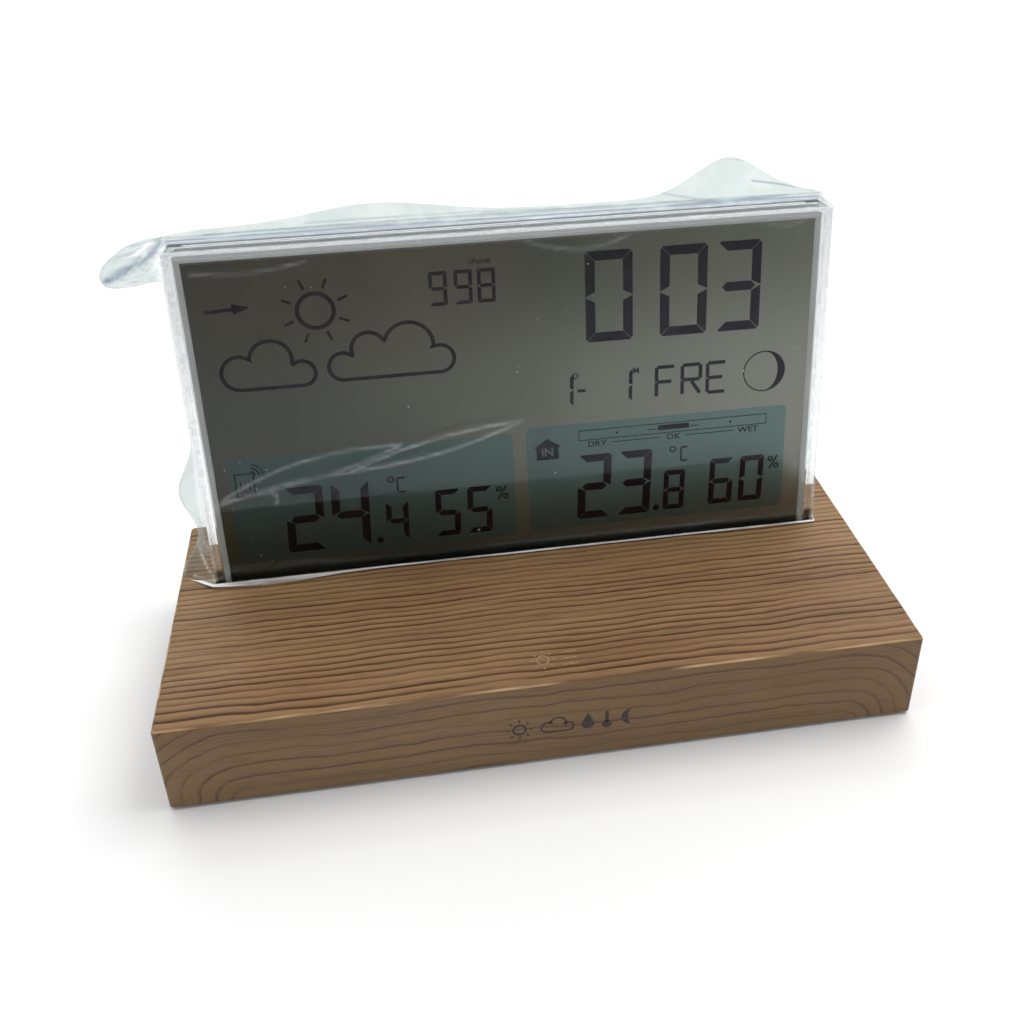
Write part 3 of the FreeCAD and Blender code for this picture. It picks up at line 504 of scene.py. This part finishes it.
def segment_shapes(width, height, stroke, gap):
    """The seven segments of a digit whose lower left corner is at 0, 0, as outlines."""
    w, t, s, g = width, height, stroke, gap
    middle = t / 2
    chamfer = 0.28 * s
    top = [(g + chamfer, t), (w - g - chamfer, t), (w - g - chamfer / 2, t - chamfer / 2),
           (w - s - g, t - s), (s + g, t - s), (g + chamfer / 2, t - chamfer / 2)]
    upper = [(0, middle + g), (s, middle + s / 2 + g), (s, t - s - g),
             (chamfer / 2, t - chamfer / 2 - g), (0, t - chamfer - g)]
    bar = [(s / 2 + g, middle), (s + g, middle + s / 2), (w - s - g, middle + s / 2), (w - s / 2 - g, middle),
           (w - s - g, middle - s / 2), (s + g, middle - s / 2)]
    bottom = [(x, t - y) for x, y in reversed(top)]
    lower = [(x, t - y) for x, y in reversed(upper)]
    mirrored = [[(w - x, y) for x, y in reversed(shape)] for shape in (upper, lower)]
    return {"a": top, "f": upper, "e": lower, "b": mirrored[0], "c": mirrored[1], "g": bar, "d": bottom}


def digit(art, figure, left, bottom, width, height, stroke, slant=0.0, gap=0.06):
    shapes = segment_shapes(width, height, stroke, gap)
    lean = math.tan(math.radians(slant))
    for name in LIT[figure]:
        art.polygon([(left + x + y * lean, bottom + y) for x, y in shapes[name]])


def letter(art, lines, left, bottom, width, height, stroke):
    """A letter of straight strokes. Each stroke joins two points in units of its width and height."""
    for (x1, y1), (x2, y2) in lines:
        start = Vector((left + x1 * width, bottom + y1 * height))
        end = Vector((left + x2 * width, bottom + y2 * height))
        inset = (end - start).normalized() * stroke * 0.15
        art.stroke([start + inset, end - inset], stroke)


STROKE_LETTERS = {
    "F": [((0, 0), (0, 0.5)), ((0, 0.5), (0, 1)), ((0, 1), (1, 1)), ((0, 0.5), (0.85, 0.5))],
    "R": [((0, 0), (0, 0.5)), ((0, 0.5), (0, 1)), ((0, 1), (1, 1)), ((1, 1), (1, 0.5)), ((0, 0.5), (1, 0.5)),
          ((0.5, 0.45), (1, 0))],
    "E": [((0, 0), (0, 0.5)), ((0, 0.5), (0, 1)), ((0, 1), (1, 1)), ((0, 0.5), (0.85, 0.5)),
          ((0, 0), (1, 0))],
    "C": [((0, 0), (0, 0.5)), ((0, 0.5), (0, 1)), ((0, 1), (1, 1)), ((0, 0), (1, 0))],
}


def percent(art, left, bottom, width, height):
    art.stroke([(left + 0.15 * width, bottom), (left + 0.85 * width, bottom + height)], 0.36)
    for x, y in ((0.22, 0.78), (0.78, 0.22)):
        art.ring((left + x * width, bottom + y * height), 0.5, 0.34, 12)


def degrees_c(art, ring_centre, left, bottom, width, height):
    art.ring(ring_centre, 0.62, 0.32, 14)
    letter(art, STROKE_LETTERS["C"], left, bottom, width, height, 0.42)


def clock():
    art = Artwork(on_polarizer)
    for figure, left, width in (("0", 15.3, 10.0), ("0", 31.1, 10.1), ("3", 43.3, 9.5)):
        digit(art, figure, left, 47.6, width, 19.6, 2.05, gap=0.08)
    art.finish("display_clock", "segments")


def calendar():
    art = Artwork(on_polarizer)
    for left in (8.0, 20.8):
        digit(art, "1", left, 33.4, 4.3, 7.5, 0.8, slant=1.5)
    art.stroke([(13.2, 36.8), (15.0, 36.8)], 0.7)
    art.words("D", (12.9, 40.2), 1.3)
    art.words("M", (26.0, 40.3), 1.3)
    for name, left in (("F", 30.1), ("R", 35.8), ("E", 41.4)):
        letter(art, STROKE_LETTERS[name], left + 0.4, 33.8, 4.0, 6.8, 0.8)
    art.finish("display_calendar", "segments")


def moon():
    art = Artwork(on_polarizer)
    centre = Vector((54.5, 37.6))
    art.ring(centre, 4.6, 0.28)
    art.crescent(centre, 4.5, 0.68, -84, 84)
    art.finish("display_moon", "segments")


def cloud_outline(parts):
    """A closed cloud outline from arcs, each a centre, a radius and its start and end angles."""
    points = []
    for centre, radius, start, end in parts:
        points += arc_points(centre, radius, start, end, 14)
    return points


def weather_signs():
    art = Artwork(on_polarizer)
    line = 0.8
    # wind arrow
    art.stroke([(-60.8, 60.5), (-55.0, 60.8)], 0.75)
    art.polygon([(-55.3, 59.7), (-51.9, 61.0), (-55.5, 61.9)])
    # sun
    sun = Vector((-39.4, 59.2))
    art.ring(sun, 3.6, 0.85)
    for turn in range(8):
        along = Vector((math.cos(math.radians(22.5 + 45 * turn)), math.sin(math.radians(22.5 + 45 * turn))))
        art.stroke([sun + along * 4.9, sun + along * 7.0], 0.55)
    # small cloud
    small = [((-55.8, 47.2), 3.6, 270, 52), ((-49.4, 49.4), 4.3, 169, -13), ((-43.4, 46.2), 2.65, 128, -90)]
    art.stroke(cloud_outline(small), line, closed=True)
    # large cloud
    large = [((-35.1, 46.9), 2.95, 270, 49), ((-29.7, 50.3), 3.5, 198, 28), ((-21.6, 50.2), 5.1, 161, -6),
             ((-15.4, 46.9), 2.95, 115, -90)]
    art.stroke(cloud_outline(large), line, closed=True)
    art.finish("display_weather", "segments")


def pressure():
    art = Artwork(on_polarizer)
    for figure, left in (("9", -16.7), ("9", -11.6), ("8", -6.9)):
        digit(art, figure, left, 58.2, 3.7, 7.2, 0.76, slant=1.0, gap=0.04)
    art.words("hPa/mb", (-6.1, 66.9), 1.05)
    art.finish("display_pressure", "segments")


def indoor():
    art = Artwork(on_polarizer)
    for figure, left in (("2", 12.5), ("3", 21.6)):
        digit(art, figure, left, 5.8, 7.4, 15.7, 1.75, slant=2.5)
    art.disc((30.6, 6.7), 0.75)
    digit(art, "8", 32.1, 6.0, 4.8, 9.7, 1.15, slant=2.0)
    for left in (42.6, 49.6):
        digit(art, "6" if left < 45 else "0", left, 6.2, 5.5, 11.3, 1.25, slant=2.0)
    percent(art, 56.4, 13.7, 2.5, 3.2)
    degrees_c(art, (34.3, 20.9), 36.2, 17.9, 1.5, 3.3)
    # the house sign
    house = [(3.9, 21.3), (8.7, 21.3), (8.7, 24.2), (9.3, 24.2), (6.3, 26.3), (3.3, 24.2), (3.9, 24.2)]
    art.polygon(house)
    art.finish("display_indoor", "segments")
    sign = Artwork(on_polarizer)
    sign.words("IN", (6.3, 23.0), 1.9)
    sign.finish("display_house_word", "panels", low=0.031, thick=0.01)


def outdoor():
    art = Artwork(on_polarizer)
    for figure, left in (("2", -51.0), ("4", -41.3)):
        digit(art, figure, left, 5.0, 8.0, 15.6, 1.75, slant=2.5)
    art.disc((-31.3, 5.8), 0.75)
    digit(art, "4", -29.7, 5.4, 4.8, 9.4, 1.15, slant=2.0)
    for left in (-19.0, -12.0):
        digit(art, "5", left, 5.2, 5.4, 11.3, 1.25, slant=2.0)
    percent(art, -5.3, 12.8, 2.6, 3.3)
    degrees_c(art, (-27.8, 20.2), -26.5, 17.0, 1.7, 3.4)
    # the outdoor sensor sign and its radio waves
    left, bottom, right, top = -60.0, 19.5, -56.2, 24.8
    art.stroke([(left, bottom), (right, bottom), (right, top), (left, top)], 0.28, closed=True)
    for x in (-59.0, -57.2):
        art.stroke([(x, 21.0), (x, 23.2)], 0.25)
    for radius in (1.1, 1.9, 2.7):
        art.arc((right - 0.6, top - 0.6), radius, 5, 80, 0.28, 8)
    art.finish("display_outdoor", "segments")


def comfort_bar():
    art = Artwork(on_polarizer)
    thin = 0.18
    art.stroke([(13.3, 25.1), (55.5, 25.1), (55.5, 27.4), (13.3, 27.4)], thin, closed=True)
    art.rectangle(30.9, 25.8, 37.9, 27.0)
    for x in (21.7, 47.3):
        art.disc((x, 26.25), 0.28, 10)
    for start, end in ((28.6, 30.6), (38.2, 40.2)):
        art.stroke([(start, 26.2), (end, 26.2)], 0.2)
    for start, end in ((20.6, 31.6), (37.0, 48.1)):
        art.stroke([(start, 24.1), (end, 24.1)], thin)
    for text, centre in (("DRY", 17.3), ("OK", 34.4), ("WET", 51.4)):
        art.words(text, (centre, 24.0), 1.25, 1.2)
    art.finish("display_comfort_bar", "segments")


def panels():
    art = Artwork(on_polarizer)
    art.rectangle(1.8, 4.0, 60.0, 29.2, 1.2)
    art.rectangle(-61.5, 3.6, -1.2, 28.4, 1.2)
    art.finish("display_panels", "panels", low=-0.005, thick=0.004)


for draw in (clock, calendar, moon, weather_signs, pressure, indoor, outdoor, comfort_bar, panels):
    draw()


# ---------------------------------------------------------------- what is printed on the base


def on_front(across, height, lift):
    return Vector((across * MM, BASE_FRONT - (lift + 0.004) * MM, height * MM))


def on_top(across, along, lift):
    return Vector((across * MM, along * MM, BASE_TOP + (lift + 0.004) * MM))


def front_print():
    """A row of plain weather pictograms: sun, cloud, drop, thermometer and moon."""
    art = Artwork(on_front)
    middle = 9.6
    sun = Vector((-7.0, middle))
    art.ring(sun, 1.25, 0.45, 20)
    for turn in range(8):
        along = Vector((math.cos(math.radians(45 * turn)), math.sin(math.radians(45 * turn))))
        art.stroke([sun + along * 1.9, sun + along * 2.6], 0.4)
    cloud = [((-1.4, middle - 0.3), 1.3, 270, 52), ((0.6, middle + 0.5), 1.6, 169, -13),
             ((2.6, middle - 0.5), 1.1, 128, -90)]
    art.stroke(cloud_outline(cloud), 0.42, closed=True)
    drop = arc_points((6.6, middle - 0.6), 1.3, 150, 390, 20)
    art.polygon(drop + [(6.6, middle + 2.3)])
    art.stroke([(10.4, middle - 0.6), (10.4, middle + 2.2)], 0.7)
    art.disc((10.4, middle - 1.3), 1.0, 20)
    art.crescent((15.4, middle), 2.1, 0.35, 96, 264)
    art.finish("front_print", "dark_ink", thick=0.012)


def touch_mark():
    """A faint sun and snooze bars over the touch pad."""
    art = Artwork(on_top)
    centre = Vector((-1.2, -25.4))
    art.ring(centre, 1.2, 0.3, 20)
    for turn in range(8):
        along = Vector((math.cos(math.radians(45 * turn)), math.sin(math.radians(45 * turn))))
        art.stroke([centre + along * 1.8, centre + along * 2.5], 0.26)
    for row in range(3):
        art.stroke([(2.6, -27.2 + 1.7 * row), (5.6, -27.2 + 1.7 * row)], 0.28)
    art.finish("touch_mark", "pale_ink", thick=0.01)


front_print()
touch_mark()


# ---------------------------------------------------------------- the loose protective film

CASE_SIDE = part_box("front_case")[1].x / MM
CASE_RISE = max((v.co - ORIGIN).dot(UP) for v in frame["nodes"]["front_case"].data.vertices) / MM
CASE_DEPTH = max((v.co - ORIGIN).dot(BACK) for v in frame["nodes"]["rear_case"].data.vertices) / MM

# Rows run up the sleeve: level is the height on the face, and past the case's top it goes on over the top
# and up the fin. The sleeve is drawn from a few sizes in millimetres on the display's face, with curves
# between them.
SLEEVE_GAP = 0.35
FIN_ROOT, FIN_END = 74.0, 75.0
EAR_ROOT, EAR_TOP, EAR_REACH, EAR_DROOP = 67.5, 74.5, 12.5, 5.5
LEFT_SLACK, RIGHT_SLACK = 0.4, 0.6
FOOT_REACH, WAVE_REACH, WAVE_HEIGHT, WAVE_HALF = 7.0, 5.0, 20, 8
WING = np.linspace(0, 1, 12)


def bump(at, middle, half_width):
    """A smooth hill of height 1 that has sunk to a third at half_width from its middle."""
    return np.exp(-(((at - middle) / half_width) ** 2))


def bowed(start, end, rise, steps=12):
    """A line from start to end that bows sideways by rise."""
    start, end = np.array(start, float), np.array(end, float)
    side = np.array((start[1] - end[1], end[0] - start[0])) / np.linalg.norm(end - start)
    return [tuple(start + (end - start) * share + side * rise * 4 * share * (1 - share))
            for share in np.linspace(0, 1, steps)]


def leaf(start, end, upper, lower):
    """The two sides of a long pinched crease."""
    return bowed(start, end, upper), bowed(start, end, lower)


def left_fold(level):
    """Where the left fold lies at a level, as (across, height): two loose waves low down, and the ear."""
    edge = -CASE_SIDE - LEFT_SLACK
    if level < EAR_ROOT:
        foot, wave = bump(level, 0, WAVE_HALF), bump(level, WAVE_HEIGHT, WAVE_HALF)
        return edge - FOOT_REACH * foot - WAVE_REACH * wave, level
    share = (level - EAR_ROOT) / (FIN_END - EAR_ROOT)
    reach = max(math.sin(share * math.pi), 0) ** 0.6
    return edge - EAR_REACH * reach, EAR_ROOT + (EAR_TOP - EAR_ROOT) * share - EAR_DROOP * (1 - share) * reach


def right_fold(level):
    """The same on the right, where the film is nearly tight and puckers at the foot."""
    return CASE_SIDE + RIGHT_SLACK + 1.2 * bump(level, 1.5, 2.0), min(level, 74.4)


def fin_height(across):
    """The height of the flat seam above the case: low, with one long swell and one short peak."""
    taper = np.clip((CASE_SIDE + 1 - np.abs(across)) / 8, 0, 1)
    return 1.0 + taper * (0.8 + 3.0 * bump(across, -26, 17) + 7.5 * bump(across, 47, 10))


def hem_reach(across):
    """How far forward of the display the hem lies on the base."""
    return 0.9 + 2.2 * bump(across, -55, 12)


# Raised creases on the face, with how milky each is; the milk also lays a painted highlight along each
# crease.
CREASES = [(line, strength) for lines, strength in (
    (leaf((-63, 20), (-25, 29), 3.0, -1.5), 0.55),
    (leaf((-36, 24), (1, 32), -1.8, 1.6), 0.8),
    (leaf((-64, 19), (-36, 24), 0.8, 0.8), 0.7),
    ([bowed((-53, 21), (-52, 18), 0.8)], 0.6),
    ([bowed((-62, 69), (-40, 70), -1.0), bowed((3, 71), (25, 71), -2.6), bowed((53, 71), (61, 71), -0.8)],
     0.32),
) for line in lines]
# Painted highlights along folds in the ear, the fin and the rim: a line, its half width and its strength.
SIDE_FOLD = CASE_SIDE - 0.1
FOLD_HIGHLIGHTS = (
    (bowed((-69, 74), (-79, 65), 0.4), 0.22, 2.1),
    (bowed((-68, 74.5), (-80, 70.5), 0.4), 0.28, 2.0),
    (bowed((-68.5, 71.5), (-76, 63.5), -0.4), 0.20, 1.9),
    (bowed((-68.5, 69.5), (-71, 65.5), 0.2), 0.25, 1.5),
    (bowed((-72.5, 20), (-SIDE_FOLD, 1), -1.0), 0.28, 1.6),
    (bowed((-SIDE_FOLD, 1), (-72, 1), 0.5), 0.25, 1.9),
    (bowed((SIDE_FOLD, 1), (68, 4.5), -0.8), 0.22, 2.0),
    (((-SIDE_FOLD, CASE_RISE - 0.1), (SIDE_FOLD, CASE_RISE - 0.1)), 0.16, 1.9),
    (((-SIDE_FOLD, CASE_RISE + 1.2), (SIDE_FOLD, CASE_RISE + 1.2)), 0.18, 1.3),
    (((SIDE_FOLD, 1), (SIDE_FOLD, CASE_RISE)), 0.30, 1.5),
    (((-SIDE_FOLD, 1), (-SIDE_FOLD, CASE_RISE)), 0.30, 1.4),
    (bowed((-40, 75.5), (12, 75), 0.2), 0.20, 0.9),
    (bowed((32, 77), (52, 74), -0.8), 0.22, 1.6),
    (bowed((40, 81), (50, 82.5), 1.2), 0.30, 0.8),
)
# Painted shade along folds, the case's top rim and the hem: a line, its half width and its strength.
FOLD_SHADES = (
    (bowed((-68, 73.5), (-79, 67.5), 0.3), 0.50, 1.0),
    (bowed((52, 78), (66, 75), 0.2), 0.12, 0.8),
    (((-SIDE_FOLD, CASE_RISE + 0.6), (SIDE_FOLD, CASE_RISE + 0.6)), 0.14, 0.8),
    (bowed((-60, 74.5), (60, 74.5), 0.3), 0.16, 0.5),
    (bowed((-30, 0.6), (6, 0.6), 0), 0.5, 0.9),
)


def distance_to_line(points, line):
    """How far each (x, y) point is from a line of straight runs."""
    best = np.full(len(points), np.inf)
    for start, end in zip(line, line[1:]):
        start, end = np.array(start), np.array(end)
        run = end - start
        share = np.clip((points - start) @ run / (run @ run), 0, 1)
        best = np.minimum(best, np.linalg.norm(points - (start + share[:, None] * run), axis=1))
    return best


def waves(x, y, seed, sizes):
    """Gentle uneven waves, summed from a few sines with fixed random directions."""
    chance = np.random.default_rng(seed)
    total = np.zeros_like(x)
    for length in sizes:
        turn, phase = chance.uniform(0, math.tau, 2)
        total += np.sin((x * math.cos(turn) + y * math.sin(turn)) * math.tau / length + phase)
    return total / len(sizes)


def front_layer():
    """The front of the sleeve, as rows of (across, height, depth), with its milk_and_highlight and fold_shade
    values.
    """
    gap, wing = SLEEVE_GAP, WING
    side = CASE_SIDE + gap
    fold_depth = 4.6
    over_end = FIN_ROOT - 0.1
    face = np.linspace(-side, side, 225)
    hem_rows = np.linspace(0, 1, 6)[:-1]
    levels = np.concatenate([np.full(len(hem_rows), 0.3), np.linspace(0.3, CASE_RISE - 0.2, 122),
                             np.linspace(CASE_RISE, over_end, 7), np.linspace(FIN_ROOT + 0.1, FIN_END, 30)])
    top_share = np.clip((levels - CASE_RISE) / (over_end - CASE_RISE), 0, 1)
    fin_share = np.clip((levels - FIN_ROOT) / (FIN_END - FIN_ROOT), 0, 1)
    rows, tint = [], []
    for i, level in enumerate(levels):
        (left, left_height), (right, right_height) = left_fold(level), right_fold(level)
        across = np.concatenate([left + (-side - left) * wing[:-1], face, side + (right - side) * wing[1:]])
        out = np.concatenate([1 - wing[:-1], np.zeros(len(face)), wing[1:]])
        fold_height = np.where(across < 0, left_height, right_height)
        edge_height = min(level, CASE_RISE + gap)
        height = edge_height + (fold_height - edge_height) * out
        base_depth = -gap + (CASE_DEPTH + gap * 2) * math.sin(top_share[i] * math.pi / 2) ** 1.4
        depth = np.maximum(base_depth, -gap + (fold_depth + gap) * out)
        fin = fin_height(across)
        height = height + (fin * fin_share[i] + 0.3 * top_share[i]) * (1 - out)
        rows.append(np.stack([across, height, depth], axis=1))
        tint.append(np.clip(out * 4 + top_share[i], 0, 1))
    grid, tint = np.array(rows), np.array(tint)
    # loose waves and the raised creases of the face
    spots = grid[:, :, :2].reshape(-1, 2)
    inside = np.clip((side - np.abs(spots[:, 0])) / 3, 0, 1) * np.clip((CASE_RISE - spots[:, 1]) / 3, 0, 1)
    inside = inside * np.clip(spots[:, 1] / 2, 0, 1)
    lift = 0.22 * inside * (1 + waves(spots[:, 0], spots[:, 1], 4, (31, 23, 47, 17)))
    crease_milk_and_highlight = np.zeros(len(spots))
    for line, strength in CREASES:
        away = distance_to_line(spots, line)
        lift += 0.30 * strength * np.exp(-((away / 0.55) ** 2))
        crease_milk_and_highlight = np.maximum(crease_milk_and_highlight, strength * np.exp(-((away / 0.30) ** 2)))
    grid[:, :, 2] -= lift.reshape(grid.shape[:2])
    milk_and_highlight = crease_milk_and_highlight.reshape(tint.shape) * 1.1
    # the hem turns forward and lies on the base
    for i, share in enumerate(hem_rows):
        forward = hem_reach(grid[i, :, 0]) * (1 - share)
        ripple = 0.25 * (1 + waves(grid[i, :, 0], np.full(grid.shape[1], float(i)), 9, (7, 4.3, 11)))
        start = grid[len(hem_rows), :, 2]
        lean = UP.y / UP.z
        grid[i, :, 1] = 0.15 + 0.1 * ripple + forward * lean
        grid[i, :, 2] = start - forward
        # The hem is painted near solid white in waves: milky film, and a painted highlight along the hem.
        milk_and_highlight[i] = 1.65 + 0.45 * waves(grid[i, :, 0], np.full(grid.shape[1], i * 0.6), 12, (13, 8.5, 21))
    crumple(grid, CASE_RISE)
    # Painted shade: a dark line along the film where it turns over the case's top edge.
    fold_shade = np.clip(1 - np.abs(grid[:, :, 1] - CASE_RISE) / 0.9, 0, 1) * 0.2
    spots = grid[:, :, :2].reshape(-1, 2)
    for value, lines in ((milk_and_highlight, FOLD_HIGHLIGHTS), (fold_shade, FOLD_SHADES)):
        for line, width, strength in lines:
            near = strength * np.exp(-((distance_to_line(spots, line) / width) ** 2))
            value[:] = np.maximum(value, near.reshape(value.shape))
    return grid, milk_and_highlight, tint, fold_shade


def crumple(grid, rise):
    """Small ripples in the ear, the fin and the top edge."""
    across, height = grid[:, :, 0], grid[:, :, 1]
    ear = np.clip((-67.8 - across) / 2, 0, 1) * np.clip((height - 58) / 3, 0, 1)
    top = np.clip((height - rise) / 0.8, 0, 1)
    ripple = waves(across, height * 1.7, 21, (5.2, 3.4, 7.7))
    ridge = np.sin((height - across * 0.55) * 0.9)
    swell = waves(across, height, 5, (9, 14, 22))
    grid[:, :, 2] += ear * (0.35 * ripple + 0.8 * ridge) + top * 0.3 * swell * (1 - ear)


def back_layer(front):
    """The back of the sleeve. It shares the front's folds and fin, and lies flat behind the case."""
    count = front.shape[1]
    behind = CASE_DEPTH + SLEEVE_GAP
    turned = len(WING) - 1
    grid = front.copy()
    out = np.zeros(count)
    out[:turned] = 1 - WING[:-1]
    out[-turned:] = WING[1:]
    for i in range(len(grid)):
        level = grid[i, count // 2, 1]
        ends = np.where(grid[i, :, 0] < 0, grid[i, 0, 2], grid[i, -1, 2])
        flat = behind + 0.25 * (1 + waves(grid[i, :, 0], np.full(count, level), 31, (29, 41, 19)))
        over = np.clip((level - CASE_RISE - 0.1) / 0.4, 0, 1)
        depth = flat + (ends - flat) * out
        grid[i, :, 2] = np.where(out > 0.99, grid[i, :, 2], np.maximum(depth, over * (grid[i, :, 2] + 0.25)))
        grid[i, :, 1] = np.where(out > 0.99, grid[i, :, 1], np.maximum(grid[i, :, 1], SLEEVE_GAP))
    return grid


def film():
    front, *values = front_layer()
    back = back_layer(front)
    rows, columns = values[0].shape
    points = [on_display(*p) for layer in (front, back) for p in layer.reshape(-1, 3)]
    faces = []
    for layer in range(2):
        for i in range(rows - 1):
            for j in range(columns - 1):
                a = layer * rows * columns + i * columns + j
                quad = (a, a + 1, a + columns + 1, a + columns)
                faces.append(quad if layer == 0 else quad[::-1])
    data = bpy.data.meshes.new("loose_film")
    data.from_pydata(points, [], faces)
    for name, value in zip(FILM_VALUES, values):
        attribute = data.attributes.new(name, "FLOAT", "POINT")
        attribute.data.foreach_set("value", np.tile(value.reshape(-1), 2))
    welded = bmesh.new()
    welded.from_mesh(data)
    bmesh.ops.remove_doubles(welded, verts=welded.verts, dist=0.02 * MM)
    bmesh.ops.recalc_face_normals(welded, faces=welded.faces)
    welded.to_mesh(data)
    welded.free()
    data.shade_smooth()
    piece = add_piece("loose_film", data, "clear_film", "protective_film")
    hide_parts("protective_film")


film()


# ---------------------------------------------------------------- floor, light and camera


def floor():
    half = 6.0
    data = bpy.data.meshes.new("floor")
    corners = [(-half, -half, 0), (half, -half, 0), (half, half, 0), (-half, half, 0)]
    data.from_pydata(corners, [], [(0, 1, 2, 3)])
    look = Look("pale_floor", Roughness=0.9, Specular_IOR_Level=0.0)
    look.set(Base_Color=look.mix(look.noise(300, 2), (0.86, 0.86, 0.86), (0.88, 0.88, 0.88)))
    data.materials.append(look.material)
    ground = bpy.data.objects.new("floor", data)
    bpy.context.scene.collection.objects.link(ground)


def area_light(name, place, target, size, power, tint=(1, 1, 1)):
    """A square soft light at a place, turned towards a target, all in metres."""
    data = bpy.data.lights.new(name, "AREA")
    data.shape = "RECTANGLE"
    data.size, data.size_y = size
    data.energy = power
    data.color = tint
    lamp = bpy.data.objects.new(name, data)
    lamp.location = place
    lamp.rotation_euler = (Vector(target) - Vector(place)).to_track_quat("-Z", "Y").to_euler()
    bpy.context.scene.collection.objects.link(lamp)


def lights():
    world = bpy.data.worlds.new("studio")
    world.use_nodes = True
    background = world.node_tree.nodes["Background"]
    background.inputs["Color"].default_value = (0.96, 0.98, 1.0, 1)
    background.inputs["Strength"].default_value = 0.5
    bpy.context.scene.world = world
    area_light("key", (0.36, 0.06, 0.62), (0.08, -0.02, 0), (0.5, 0.5), 3.2, (1.0, 0.985, 0.96))
    area_light("fill", (-0.45, 0.05, 0.6), (0, 0, 0.03), (0.5, 0.5), 1.05)
    area_light("far", (0.0, 1.5, 1.4), (0, 1.2, 0), (2.4, 1.2), 25)


def camera():
    """The photograph's viewpoint: sizes in metres, angles in degrees, the lens for a 36 mm sensor."""
    azimuth, elevation, roll = (math.radians(a) for a in (-8.266, 29.83, -1.045))
    target, distance = Vector((2.85, 0, 64.86)) * MM, 216.0 * MM
    level = math.cos(elevation)
    back = Vector((math.sin(azimuth) * level, -math.cos(azimuth) * level, math.sin(elevation)))
    right = (-back).cross(Vector((0, 0, 1))).normalized()
    up = right.cross(-back)
    rolled_right = right * math.cos(roll) + up * math.sin(roll)
    rolled_up = up * math.cos(roll) - right * math.sin(roll)
    data = bpy.data.cameras.new("camera")
    data.sensor_width = 36
    data.lens = 38.66
    data.shift_x, data.shift_y = -0.0273, -0.1094
    data.clip_start = 0.01
    eye = bpy.data.objects.new("camera", data)
    turn = Matrix((rolled_right, rolled_up, back)).transposed()
    eye.matrix_world = Matrix.Translation(target + back * distance) @ turn.to_4x4()
    bpy.context.scene.collection.objects.link(eye)
    bpy.context.scene.camera = eye
    bpy.context.scene.view_settings.view_transform = "Standard"


floor()
lights()
camera()
